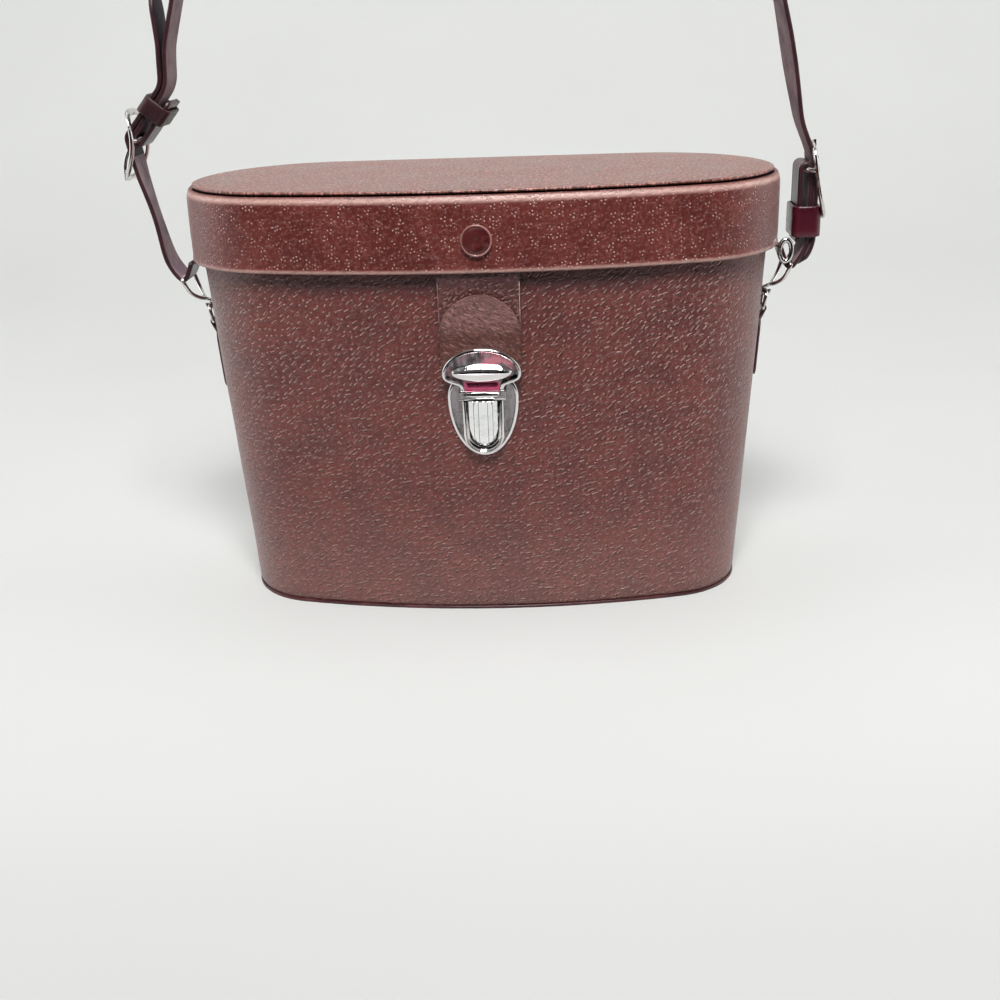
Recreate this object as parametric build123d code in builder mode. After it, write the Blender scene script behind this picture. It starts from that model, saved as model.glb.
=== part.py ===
"""Hard case for a pair of binoculars: tapered covered box, hinged lid, push-button catch, shoulder strap.

Millimetres, +Z up, the front faces -Y, the origin is at the middle of the base's underside.
"""
import os
from math import atan2, cos, degrees, radians, sin, sqrt, tan

from build123d import *

os.makedirs("parts", exist_ok=True)

# ---------------------------------------------------------------- driving dimensions
LID_WIDTH = 206.0          # over the lid's cover
LID_DEPTH = 94.0
LID_HEIGHT = 25.5          # skirt and top together
CASE_HEIGHT = 150.5        # base to the top of the lid
FRONT_END_RADIUS = 39.5    # the two front corners; the back ones are full half rounds
TAPER = 3.66               # degrees that the body's wall leans in, going down

COVER = 0.4                # leathercloth on the lid
LID_BOARD = 1.1            # fibreboard of the lid's skirt
BODY_INSET = 3.6           # from the lid's outside to the body's outside
BODY_COVER = 0.5
BODY_BOARD = 1.6
LINING = 0.6
NECK_HEIGHT = 13.0         # of the body's rim above the lid's lower edge
BASE_PANEL = 1.0
BASE_BOARD = 2.0
FLOOR_PAD = 3.0

RIM_WIDTH = 2.4            # rolled edge round the lid's top
GROOVE = 0.5               # shadow gap between that edge and the top panel
DECK = 1.5
TOP_PANEL = 2.0
LID_PAD_INSET = 4.0
PAD_GAP = 0.3              # between the lid's pad and the body's rim

STRAP_WIDTH = 13.0
STRAP_THICK = 1.6
LEATHER = 1.0              # hinge strip and catch strip

LID_BOTTOM = CASE_HEIGHT - LID_HEIGHT
RIM_TOP = LID_BOTTOM + NECK_HEIGHT
HALF_DEPTH = LID_DEPTH / 2
LEAN = tan(radians(TAPER))
BOARD_INSET = BODY_INSET + BODY_COVER
LINING_INSET = BOARD_INSET + BODY_BOARD
CAVITY_INSET = LINING_INSET + LINING
SMALL = 0.02               # keeps glued faces of neighbouring pieces apart


def keep(builder, label):
    """Label a finished piece and write it."""
    builder.part.label = label
    export_step(builder.part, f"parts/{label}.step")


# ---------------------------------------------------------------- the case's plan outline
BACK_CENTRE = LID_WIDTH / 2 - HALF_DEPTH
FRONT_CENTRE = LID_WIDTH / 2 - FRONT_END_RADIUS
FRONT_BOW = (FRONT_CENTRE**2 + HALF_DEPTH**2 - FRONT_END_RADIUS**2) / (2 * (HALF_DEPTH - FRONT_END_RADIUS))
BOW_CENTRE = FRONT_BOW - HALF_DEPTH
BOW_HALF_ANGLE = degrees(atan2(FRONT_CENTRE, BOW_CENTRE))


def case_outline(inset):
    """Plan outline, parallel to the lid's own: flat back, round ends, slightly bowed front."""
    back, end, bow = HALF_DEPTH - inset, FRONT_END_RADIUS - inset, FRONT_BOW - inset
    with BuildSketch() as outline:
        with BuildLine():
            CenterArc((BACK_CENTRE, 0), back, 0, 90)
            Line((BACK_CENTRE, back), (-BACK_CENTRE, back))
            CenterArc((-BACK_CENTRE, 0), back, 90, 90)
            CenterArc((-FRONT_CENTRE, 0), end, 180, 90 - BOW_HALF_ANGLE)
            CenterArc((0, BOW_CENTRE), bow, 270 - BOW_HALF_ANGLE, 2 * BOW_HALF_ANGLE)
            CenterArc((FRONT_CENTRE, 0), end, 270 + BOW_HALF_ANGLE, 90 - BOW_HALF_ANGLE)
        make_face()
    return outline.sketch


def wall_inset(inset, z):
    """Inset of a body wall at height z; above the lid's edge the wall is upright."""
    return inset + max(LID_BOTTOM - z, 0) * LEAN


def front_y(z):
    """The body cover's front face on the centre line."""
    return -HALF_DEPTH + wall_inset(BODY_INSET, z)


def back_y(z):
    return HALF_DEPTH - wall_inset(BODY_INSET, z)


def side_x(z):
    return LID_WIDTH / 2 - wall_inset(BODY_INSET, z)


def tapered_block(inset, bottom, top):
    """Solid inside a body surface, from bottom to top, both at or below the lid's edge."""
    with BuildPart() as block:
        with BuildSketch(Plane.XY.offset(top)):
            add(case_outline(wall_inset(inset, top)))
        extrude(amount=-(top - bottom), taper=TAPER)
    return block.part


def body_tube(outer, inner, bottom, top):
    """Tapered wall between two insets, carried up into the neck where top is above the lid's edge."""
    taper_top = min(top, LID_BOTTOM)
    with BuildPart() as tube:
        add(tapered_block(outer, bottom, taper_top))
        add(tapered_block(inner, bottom, taper_top), mode=Mode.SUBTRACT)
        if top > LID_BOTTOM:
            with BuildSketch(Plane.XY.offset(LID_BOTTOM)):
                add(case_outline(outer))
                add(case_outline(inner), mode=Mode.SUBTRACT)
            extrude(amount=top - LID_BOTTOM)
    return tube.part


def ring(outer, inner, bottom, top):
    """Upright wall between two insets."""
    with BuildPart() as wall:
        with BuildSketch(Plane.XY.offset(bottom)):
            add(case_outline(outer))
            add(case_outline(inner), mode=Mode.SUBTRACT)
        extrude(amount=top - bottom)
    return wall.part


# ---------------------------------------------------------------- body: box, cover, lining, base
BINDING_SKIRT = 2.5        # height of the rim binding's legs
BINDING_LIP = 0.6
STUD_Z = 136.0
HINGE_RIVET_Z = 118.5
HINGE_RIVET_X = 32.0
HINGE_PIN = 1.2
LATCH_RIVETS = ((-4.2, -6.0), (4.2, -6.0))
LATCH_PIN = 0.9

FLOOR_Z = BASE_PANEL + BASE_BOARD

with BuildPart() as body_shell:
    add(body_tube(BOARD_INSET, LINING_INSET, BASE_PANEL, RIM_TOP - BINDING_LIP))
keep(body_shell, "body_shell")

with BuildPart() as body_cover:
    add(body_tube(BODY_INSET, BOARD_INSET, BASE_PANEL, RIM_TOP - BINDING_SKIRT))
keep(body_cover, "body_cover")

with BuildPart() as rim_binding:
    add(ring(BODY_INSET, CAVITY_INSET, RIM_TOP - BINDING_LIP, RIM_TOP))
    add(ring(BODY_INSET, BOARD_INSET, RIM_TOP - BINDING_SKIRT, RIM_TOP - BINDING_LIP))
    add(ring(LINING_INSET, CAVITY_INSET, RIM_TOP - BINDING_SKIRT, RIM_TOP - BINDING_LIP))
    rim_edges = rim_binding.edges().group_by(Axis.Z)[-1]
    fillet(rim_edges, BINDING_LIP / 2)
keep(rim_binding, "rim_binding")

with BuildPart() as base_board:
    add(tapered_block(LINING_INSET + SMALL, BASE_PANEL, FLOOR_Z))
keep(base_board, "base_board")

with BuildPart() as body_lining:
    add(body_tube(LINING_INSET, CAVITY_INSET, FLOOR_Z, RIM_TOP - BINDING_SKIRT))
keep(body_lining, "body_lining")

with BuildPart() as floor_pad:
    add(tapered_block(CAVITY_INSET + SMALL, FLOOR_Z, FLOOR_Z + FLOOR_PAD))
keep(floor_pad, "floor_pad")

BASE_PROUD = 0.35          # the base panel's edge shows all round
with BuildPart() as base_panel:
    with BuildSketch():
        add(case_outline(wall_inset(BODY_INSET, 0) - BASE_PROUD))
    extrude(amount=BASE_PANEL)
    fillet(base_panel.edges().group_by(Axis.Z)[-1], 0.3)
keep(base_panel, "base_panel")

# ---------------------------------------------------------------- lid
SKIRT_INSET = COVER + LID_BOARD
DECK_Z = CASE_HEIGHT - TOP_PANEL - DECK
PANEL_Z = CASE_HEIGHT - TOP_PANEL
RIM_ROUND = 1.5
STUD_PIN = 1.5

with BuildPart() as lid_band:
    add(ring(COVER, SKIRT_INSET, LID_BOTTOM + COVER, DECK_Z))
    with BuildSketch(Plane.XZ.offset(HALF_DEPTH)):
        with Locations((0, STUD_Z)):
            Circle(STUD_PIN + SMALL)
    extrude(amount=-SKIRT_INSET - 1, mode=Mode.SUBTRACT)
    with BuildSketch(Plane.XZ.offset(-HALF_DEPTH)):
        with Locations(*[(x * HINGE_RIVET_X, LID_BOTTOM + 6.5) for x in (-1, 0, 1)]):
            Circle(HINGE_PIN + SMALL)
    extrude(amount=SKIRT_INSET + 1, mode=Mode.SUBTRACT)
keep(lid_band, "lid_band")

with BuildPart() as lid_deck:
    with BuildSketch(Plane.XY.offset(DECK_Z)):
        add(case_outline(COVER))
    extrude(amount=DECK)
keep(lid_deck, "lid_deck")

with BuildPart() as lid_cover:
    add(ring(0, COVER, LID_BOTTOM, CASE_HEIGHT - TOP_PANEL))
    add(ring(0, SKIRT_INSET, LID_BOTTOM, LID_BOTTOM + COVER))
    add(ring(0, RIM_WIDTH, PANEL_Z, CASE_HEIGHT - 0.1))
    top_loops = lid_cover.faces().sort_by(Axis.Z)[-1]
    fillet(top_loops.outer_wire().edges(), RIM_ROUND)
    with BuildSketch(Plane.XZ.offset(HALF_DEPTH)):
        with Locations((0, STUD_Z)):
            Circle(STUD_PIN + SMALL)
    extrude(amount=-1.5, mode=Mode.SUBTRACT)
    with BuildSketch(Plane.XZ.offset(-HALF_DEPTH)):
        with Locations(*[(x * HINGE_RIVET_X, LID_BOTTOM + 6.5) for x in (-1, 0, 1)]):
            Circle(HINGE_PIN + SMALL)
    extrude(amount=1.5, mode=Mode.SUBTRACT)
keep(lid_cover, "lid_cover")

with BuildPart() as lid_top:
    with BuildSketch(Plane.XY.offset(PANEL_Z)):
        add(case_outline(RIM_WIDTH + GROOVE))
    extrude(amount=TOP_PANEL)
    fillet(lid_top.edges().group_by(Axis.Z)[-1], 0.6)
keep(lid_top, "lid_top")

with BuildPart() as lid_pad:
    with BuildSketch(Plane.XY.offset(RIM_TOP + PAD_GAP)):
        add(case_outline(LID_PAD_INSET))
    extrude(amount=DECK_Z - RIM_TOP - PAD_GAP)
    fillet(lid_pad.edges().group_by(Axis.Z)[0], 2.5)
keep(lid_pad, "lid_pad")

# ---------------------------------------------------------------- leather hinge across the back
HINGE_WIDTH = 92.0
LEAF_HEIGHT = 12.5
AXIS_Y = HALF_DEPTH - SKIRT_INSET + 0.1
AXIS_Z = LID_BOTTOM + 0.2
HEAD_RADIUS = 2.4
HEAD_RISE = 1.0


def rivet(radius, rise, pin, reach):
    """Domed rivet standing on its head's flat, the pin going down by reach."""
    with BuildPart() as one:
        with BuildSketch(Plane.XZ):
            with BuildLine():
                Line((0, -reach), (pin, -reach))
                Line((pin, -reach), (pin, 0))
                Line((pin, 0), (radius, 0))
                RadiusArc((radius, 0), (0, rise), -(radius**2 + rise**2) / (2 * rise))
                Line((0, rise), (0, -reach))
            make_face()
        revolve(axis=Axis.Z)
    return one.part


with BuildPart() as hinge_leaf_lid:
    with BuildSketch(Plane.XY.offset(LID_BOTTOM + COVER + 0.1)):
        with Locations((0, HALF_DEPTH - SKIRT_INSET - SMALL - LEATHER / 2)):
            Rectangle(HINGE_WIDTH, LEATHER)
    extrude(amount=LEAF_HEIGHT)
    with BuildSketch(Plane.XZ.offset(-HALF_DEPTH)):
        with Locations(*[(x * HINGE_RIVET_X, LID_BOTTOM + 6.5) for x in (-1, 0, 1)]):
            Circle(HINGE_PIN + SMALL)
    extrude(amount=6, mode=Mode.SUBTRACT)
keep(hinge_leaf_lid, "hinge_leaf_lid")

leaf_low = LID_BOTTOM - LEAF_HEIGHT
leaf_high = LID_BOTTOM - 0.3
with BuildPart() as hinge_leaf_body:
    with BuildSketch(Plane.YZ):
        with BuildLine():
            Polyline(
                (back_y(leaf_low) + SMALL, leaf_low),
                (back_y(leaf_low) + LEATHER, leaf_low),
                (back_y(leaf_high) + LEATHER, leaf_high),
                (back_y(leaf_high) + SMALL, leaf_high),
                close=True,
            )
        make_face()
    extrude(amount=HINGE_WIDTH / 2, both=True)
    with BuildSketch(Plane.XZ.offset(-HALF_DEPTH)):
        with Locations(*[(x * HINGE_RIVET_X, HINGE_RIVET_Z) for x in (-1, 0, 1)]):
            Circle(HINGE_PIN + 0.1)
    extrude(amount=8, mode=Mode.SUBTRACT)
keep(hinge_leaf_body, "hinge_leaf_body")

with BuildPart() as hinge_rivets_lid:
    for x in (-HINGE_RIVET_X, 0, HINGE_RIVET_X):
        place = Plane((x, HALF_DEPTH + SMALL, LID_BOTTOM + 6.5), x_dir=(1, 0, 0), z_dir=(0, 1, 0))
        add(place.from_local_coords(rivet(HEAD_RADIUS, HEAD_RISE, HINGE_PIN, SKIRT_INSET + LEATHER)))
keep(hinge_rivets_lid, "hinge_rivets_lid")

with BuildPart() as hinge_rivets_body:
    for x in (-HINGE_RIVET_X, 0, HINGE_RIVET_X):
        face = back_y(HINGE_RIVET_Z) + LEATHER + SMALL
        place = Plane((x, face, HINGE_RIVET_Z), x_dir=(1, 0, 0), z_dir=(0, cos(radians(TAPER)), -sin(radians(TAPER))))
        add(place.from_local_coords(rivet(HEAD_RADIUS, HEAD_RISE, HINGE_PIN, LEATHER)))
keep(hinge_rivets_body, "hinge_rivets_body")

# ---------------------------------------------------------------- catch on the front
CATCH_Z = 82.0             # height of the catch's own zero, at the foot of the bridge
FACE_OUT = (0, -cos(radians(TAPER)), -sin(radians(TAPER)))
PLATE_THICK = 0.9
PLATE_HALF = 12.0
PLATE_FOOT = 20.5          # lower half of the egg-shaped base plate
PLATE_HEAD = 9.5           # upper half, cut off straight below the leather
PLATE_TOP = 3.7
HOUSING_HALF = 7.1
HOUSING_WALL = 1.2
HOUSING_RISE = 4.0
HOUSING_FOOT = 12.4        # centre of the housing's round end, below zero
BRIDGE_HALF = 7.9
BRIDGE_HEIGHT = 3.3
BRIDGE_UNDER = 3.7
BRIDGE_TOP = 4.8
BUTTON_HALF = 4.8
BUTTON_TOP = 4.6
BUTTON_BACK = 2.6
TAB_WIDTH = 27.0
TAB_FOOT = 4.3             # lower edge of the leather above the catch's zero
TAB_BACK = 1.3             # gap between the body and the leather
FOLD_RADIUS = TAB_WIDTH / 2
HASP_HALF = 13.2
NECK_HALF = 7.0
HASP_WIDE = 8.2            # height at which the hasp is widest
HASP_CROWN = 8.7
HASP_THICK = 1.0
BOSS_HALF = 11.0


def on_face(offset=0.0):
    """Plane on the front wall at the catch, offset outwards; its y runs up the wall."""
    origin = Vector(0, front_y(CATCH_Z), CATCH_Z) + Vector(*FACE_OUT) * (offset + SMALL)
    return Plane(origin, x_dir=(1, 0, 0), z_dir=FACE_OUT)


def egg(half, foot, head):
    """Egg-shaped face: two half ellipses on one width."""
    with BuildSketch() as shape:
        with BuildLine():
            EllipticalCenterArc((0, 0), half, foot, start_angle=180, arc_size=180)
            EllipticalCenterArc((0, 0), half, head, start_angle=0, arc_size=180)
        make_face()
    return shape.sketch


def thumb(half, centre, top):
    """Straight-sided face with a round lower end."""
    with BuildSketch() as shape:
        with BuildLine():
            Line((-half, top), (-half, centre))
            CenterArc((0, centre), half, 180, 180)
            Line((half, centre), (half, top))
            Line((half, top), (-half, top))
        make_face()
    return shape.sketch


with BuildPart() as latch_base:
    with BuildSketch(on_face()):
        add(egg(PLATE_HALF, PLATE_FOOT, PLATE_HEAD))
        with Locations((0, PLATE_TOP + PLATE_HEAD / 2)):
            Rectangle(2 * PLATE_HALF, PLATE_HEAD, mode=Mode.SUBTRACT)
        with Locations(*LATCH_RIVETS):
            Circle(LATCH_PIN + SMALL, mode=Mode.SUBTRACT)
    extrude(amount=PLATE_THICK)
    plate_rim = latch_base.faces().sort_by(Axis.Y)[0].outer_wire().edges()
    chamfer(plate_rim, 0.4)
keep(latch_base, "latch_base")

with BuildPart() as latch_rivets:
    for x, v in LATCH_RIVETS:
        with BuildSketch(on_face()):
            with Locations((x, v)):
                Circle(LATCH_PIN)
        extrude(amount=PLATE_THICK + 0.1)
keep(latch_rivets, "latch_rivets")

with BuildPart() as latch_housing:
    with BuildSketch(on_face(PLATE_THICK)):
        add(thumb(HOUSING_HALF, -HOUSING_FOOT, -0.6))
        add(thumb(HOUSING_HALF - HOUSING_WALL, -HOUSING_FOOT, -0.6), mode=Mode.SUBTRACT)
    extrude(amount=HOUSING_RISE - PLATE_THICK)
    housing_edges = latch_housing.faces().sort_by(Axis.Y)[0].outer_wire().edges().filter_by(GeomType.CIRCLE)
    fillet(housing_edges, 0.5)
keep(latch_housing, "latch_housing")

with BuildPart() as latch_bridge:
    with BuildSketch(on_face(PLATE_THICK)):
        with Locations((0, BRIDGE_HEIGHT / 2 - 0.55)):
            Rectangle(2 * BRIDGE_HALF, BRIDGE_HEIGHT)
            Rectangle(2 * NECK_HALF, BRIDGE_HEIGHT, mode=Mode.SUBTRACT)
    extrude(amount=BRIDGE_TOP - PLATE_THICK)
    with BuildSketch(on_face(BRIDGE_UNDER)):
        with Locations((0, BRIDGE_HEIGHT / 2 - 0.55)):
            Rectangle(2 * BRIDGE_HALF, BRIDGE_HEIGHT)
        with Locations((0, -2.6)):
            Circle(2.6, mode=Mode.SUBTRACT)
    extrude(amount=BRIDGE_TOP - BRIDGE_UNDER)
keep(latch_bridge, "latch_bridge")

with BuildPart() as latch_spring:
    with BuildSketch(on_face(PLATE_THICK)):
        with Locations((0, -8.5)):
            Rectangle(4.0, 13.0)
    extrude(amount=0.25)
    with BuildSketch(on_face(PLATE_THICK + 0.25)):
        with Locations((0, -8.5)):
            Rectangle(4.0, 3.0)
    extrude(amount=0.15)
keep(latch_spring, "latch_spring")

FLUTES = 5
FLUTE_ROUND = 0.55
with BuildPart() as latch_button:
    with BuildSketch(on_face(BUTTON_BACK)):
        add(thumb(BUTTON_HALF, -HOUSING_FOOT + 0.6, -1.0))
    extrude(amount=BUTTON_TOP - BUTTON_BACK)
    flute_pitch = 2 * BUTTON_HALF / FLUTES
    with BuildSketch(on_face(BUTTON_TOP)):
        with Locations(*[((i - FLUTES / 2 + 0.5) * flute_pitch, -9.5) for i in (0, 1, 3, 4)]):
            Rectangle(flute_pitch * FLUTE_ROUND, 13.5)
    extrude(amount=-0.35, mode=Mode.SUBTRACT)
keep(latch_button, "latch_button")

# ---------------------------------------------------------------- leather catch strip and its metal hasp
TAB_HINGE_Z = LID_BOTTOM - 1.5
ANCHOR_TOP = STUD_Z + 6.0
tab_drop = (TAB_HINGE_Z - 0.3 - CATCH_Z) / cos(radians(TAPER))
FOLD_APEX = 36.2
HASP_PINS = ((-5.0, 10.2), (5.0, 10.2))
HASP_PIN = 0.8
HASP_NECK_Z = 4.1

anchor_low = TAB_HINGE_Z + 0.3
with BuildPart() as tab_anchor:
    add(ring(SKIRT_INSET + SMALL, SKIRT_INSET + SMALL + LEATHER, anchor_low, ANCHOR_TOP))
    with BuildSketch(Plane.XZ):
        with Locations((0, (ANCHOR_TOP + anchor_low) / 2)):
            RectangleRounded(TAB_WIDTH, ANCHOR_TOP - anchor_low, 1.0)
        with Locations((0, STUD_Z)):
            Circle(STUD_PIN + SMALL, mode=Mode.SUBTRACT)
    extrude(amount=LID_DEPTH, mode=Mode.INTERSECT)
keep(tab_anchor, "tab_anchor")

with BuildPart() as latch_tab:
    with BuildSketch(on_face(TAB_BACK)):
        with Locations((0, (tab_drop + TAB_FOOT) / 2)):
            Rectangle(TAB_WIDTH, tab_drop - TAB_FOOT)
        with Locations(*HASP_PINS):
            Circle(HASP_PIN + SMALL, mode=Mode.SUBTRACT)
    extrude(amount=LEATHER)
    fillet(latch_tab.edges().filter_by(Axis.Y, tolerance=10).group_by(Axis.Z)[0], 2.5)
keep(latch_tab, "latch_tab")

with BuildPart() as tab_fold:
    with BuildSketch(on_face(TAB_BACK + LEATHER)):
        with BuildLine():
            Line((-FOLD_RADIUS, TAB_FOOT), (FOLD_RADIUS, TAB_FOOT))
            Line((FOLD_RADIUS, TAB_FOOT), (FOLD_RADIUS, FOLD_APEX - FOLD_RADIUS))
            CenterArc((0, FOLD_APEX - FOLD_RADIUS), FOLD_RADIUS, 0, 180)
            Line((-FOLD_RADIUS, FOLD_APEX - FOLD_RADIUS), (-FOLD_RADIUS, TAB_FOOT))
        make_face()
        with Locations(*HASP_PINS):
            Circle(HASP_PIN + SMALL, mode=Mode.SUBTRACT)
    extrude(amount=LEATHER)
    fillet(tab_fold.edges().filter_by(Axis.Y, tolerance=10).group_by(Axis.Z)[0], 2.5)
keep(tab_fold, "tab_fold")

HASP_BACK = TAB_BACK + 2 * LEATHER + SMALL
with BuildPart() as hasp_plate:
    with BuildSketch(on_face(HASP_BACK)):
        with BuildLine():
            EllipticalCenterArc((0, HASP_WIDE), HASP_HALF, HASP_CROWN, start_angle=0, arc_size=180)
            ThreePointArc((-HASP_HALF, HASP_WIDE), (-HASP_HALF + 1.5, 5.6), (-NECK_HALF, HASP_NECK_Z))
            Line((-NECK_HALF, HASP_NECK_Z), (NECK_HALF, HASP_NECK_Z))
            ThreePointArc((NECK_HALF, HASP_NECK_Z), (HASP_HALF - 1.5, 5.6), (HASP_HALF, HASP_WIDE))
        make_face()
    extrude(amount=HASP_THICK)
keep(hasp_plate, "hasp_plate")

with BuildPart() as hasp_boss:
    with BuildSketch(on_face(HASP_BACK + HASP_THICK)):
        with BuildLine():
            lens_up = ThreePointArc((-BOSS_HALF, 8.9), (0, 12.0), (BOSS_HALF, 8.9))
            ThreePointArc(lens_up @ 1, (0, 5.9), lens_up @ 0)
        make_face()
    extrude(amount=0.5)
keep(hasp_boss, "hasp_boss")

TONGUE_BACK = 1.3
TONGUE_THICK = 0.9
TONGUE_HALF = 5.3
TONGUE_TIP = 0.3
with BuildPart() as hasp_tongue:
    with BuildSketch(on_face(TONGUE_BACK)):
        with Locations((0, (HASP_NECK_Z + TONGUE_TIP) / 2)):
            RectangleRounded(2 * TONGUE_HALF, HASP_NECK_Z - TONGUE_TIP, 0.8)
        with Locations((0, TONGUE_TIP + 1.6)):
            Rectangle(3.0, 1.4, mode=Mode.SUBTRACT)
    extrude(amount=TONGUE_THICK)
    with BuildSketch(on_face(TONGUE_BACK + TONGUE_THICK)):
        with Locations((0, HASP_NECK_Z - 0.35)):
            Rectangle(2 * TONGUE_HALF, 0.7)
    extrude(amount=HASP_BACK + HASP_THICK - TONGUE_BACK - TONGUE_THICK)
keep(hasp_tongue, "hasp_tongue")

with BuildPart() as hasp_rivets:
    for x, v in HASP_PINS:
        with BuildSketch(on_face(TAB_BACK)):
            with Locations((x, v)):
                Circle(HASP_PIN)
        extrude(amount=2 * LEATHER)
keep(hasp_rivets, "hasp_rivets")

# covered stud that holds the strip to the lid
with BuildPart() as stud_cap:
    with BuildSketch(Plane.XZ):
        with BuildLine():
            Line((0, 0), (5.2, 0))
            Line((5.2, 0), (5.2, 0.5))
            ThreePointArc((5.2, 0.5), (4.6, 1.15), (3.9, 0.8))
            RadiusArc((3.9, 0.8), (0, 1.7), -(3.9**2 + 0.9**2) / (2 * 0.9))
            Line((0, 1.7), (0, 0))
        make_face()
    revolve(axis=Axis.Z)
stud_place = Plane((0, -HALF_DEPTH - SMALL, STUD_Z), x_dir=(1, 0, 0), z_dir=(0, -1, 0))
stud_cap.part = stud_place.from_local_coords(stud_cap.part)
keep(stud_cap, "stud_cap")

with BuildPart() as stud_post:
    with BuildSketch(Plane.XZ.offset(HALF_DEPTH)):
        with Locations((0, STUD_Z)):
            Circle(STUD_PIN)
    extrude(amount=-(SKIRT_INSET + LEATHER + SMALL))
keep(stud_post, "stud_post")

# ---------------------------------------------------------------- side tabs and D-rings
TAB_STRIP_HALF = 7.0
TAB_STRIP_THICK = 1.5
TAB_STRIP_LOW = 77.0
TAB_STRIP_HIGH = 97.5
RING_X = 100.95
RING_PIVOT_Z = 104.5       # the strap swings about the middle of the rings' round tops
RING_RADIUS = 4.0
RING_WIRE = 0.65
RING_LEG = 3.5
RING_FOLD = 0.7 + 1.2      # leather round the ring's lower bar
SIDE_RIVETS = (93.0, 81.0)
SIDE_PIN = 0.5


def side_tab(side):
    """Leather strip down one end of the body, its tongue folded round the ring's bar."""
    with BuildPart() as strip:
        add(tapered_block(BODY_INSET - TAB_STRIP_THICK, TAB_STRIP_LOW, TAB_STRIP_HIGH))
        add(tapered_block(BODY_INSET - SMALL, TAB_STRIP_LOW, TAB_STRIP_HIGH), mode=Mode.SUBTRACT)
        with BuildSketch(Plane.YZ):
            with Locations((0, (TAB_STRIP_LOW + TAB_STRIP_HIGH) / 2)):
                RectangleRounded(2 * TAB_STRIP_HALF, TAB_STRIP_HIGH - TAB_STRIP_LOW, 2.5)
            with Locations(*[(0, z) for z in SIDE_RIVETS]):
                Circle(SIDE_PIN + 0.05, mode=Mode.SUBTRACT)
        extrude(amount=side * LID_WIDTH, mode=Mode.INTERSECT)
        bar_z = RING_PIVOT_Z - RING_LEG
        low = TAB_STRIP_HIGH - 2.0
        with BuildSketch(Plane.XZ):
            with BuildLine():
                Polyline(
                    (side * (side_x(low) + 0.1), low),
                    (side * (side_x(low) + TAB_STRIP_THICK - 0.1), low),
                    (side * (RING_X + RING_FOLD), bar_z),
                    (side * (side_x(bar_z) + 0.15), bar_z),
                    close=True,
                )
            make_face()
            with Locations((side * RING_X, bar_z)):
                Circle(RING_FOLD)
            with Locations((side * RING_X, bar_z)):
                Circle(RING_WIRE + SMALL, mode=Mode.SUBTRACT)
        extrude(amount=RING_RADIUS - RING_WIRE - 0.6, both=True)
    return strip.part


def ring_on(side):
    """Wire D-ring standing on its bar, flat against the end of the body."""
    with BuildPart() as wire_ring:
        with BuildLine(Plane.YZ.offset(side * RING_X)) as route:
            legs = FilletPolyline(
                (-RING_RADIUS, RING_PIVOT_Z),
                (-RING_RADIUS, RING_PIVOT_Z - RING_LEG),
                (RING_RADIUS, RING_PIVOT_Z - RING_LEG),
                (RING_RADIUS, RING_PIVOT_Z),
                radius=0.9,
            )
            CenterArc((0, RING_PIVOT_Z), RING_RADIUS, 0, 180)
        with BuildSketch(Plane(legs @ 0, z_dir=legs % 0)):
            Circle(RING_WIRE)
        sweep(path=route.wires()[0])
    return wire_ring.part


SIDES = (("left", -1), ("right", 1))
for name, side in SIDES:
    with BuildPart() as tab:
        add(side_tab(side))
    keep(tab, f"side_tab_{name}")
    with BuildPart() as d_ring:
        add(ring_on(side))
    keep(d_ring, f"d_ring_{name}")

with BuildPart() as side_rivets:
    for name, side in SIDES:
        for z in SIDE_RIVETS:
            face = side_x(z) + TAB_STRIP_THICK + SMALL
            out = (side * cos(radians(TAPER)), 0, -sin(radians(TAPER)))
            place = Plane((side * face, 0, z), x_dir=(0, 1, 0), z_dir=out)
            add(place.from_local_coords(rivet(2.2, 0.9, SIDE_PIN, 0.3)))
keep(side_rivets, "side_rivets")

# ---------------------------------------------------------------- shoulder strap and its metal
CLIP_WIRE = 0.6
CLIP_CURL = 1.55           # radius of the hook round the D-ring's wire
CLIP_LEAN = 56.2           # degrees above level that the clip points, going out from the case
CLIP_NECK = 4.2
CLIP_REACH = 11.5          # D-ring wire to the clip's bar
CLIP_HALF = 7.7
RING_TOP = (RING_X, RING_PIVOT_Z + RING_RADIUS)
CLIP_BAR = (RING_TOP[0] + CLIP_REACH * cos(radians(CLIP_LEAN)), RING_TOP[1] + CLIP_REACH * sin(radians(CLIP_LEAN)))
FOLD = CLIP_WIRE + 0.15 + STRAP_THICK / 2
INNER_END = 4.5            # short end of a strap, turned up behind the clip

BAR_RADIUS = 0.9
LAYER = 1.8                # from a buckle's bar to the middle of the leather folded round it
TAIL = LAYER + STRAP_THICK + 0.25
RIGHT_BAR = (111.2, 149.6)
LEFT_BAR = (-117.3, 166.0)
LEFT_LEAN = 40.6           # degrees from upright that the left fold leans towards the case
FRAME_HALF = 10.0
FRAME_RAIL = 1.6
FRAME_THICK = 1.7
FRAME_END = 0.9            # length of the frame's two end bars
PRONG = 0.65
KEEPER_WALL = 1.1
KEEPER_PLAY = 0.3


def mirrored(points):
    return [(-x, z) for x, z in points]


def strap_piece(line):
    """Flat strap along a line drawn with X across and Z up."""
    route = Plane.XZ.from_local_coords(line).wires()[0]
    with BuildPart() as piece:
        with BuildSketch(Plane(route @ 0, x_dir=(0, 1, 0), z_dir=route % 0)):
            Rectangle(STRAP_WIDTH, STRAP_THICK)
        sweep(path=route)
    return piece.part


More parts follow.
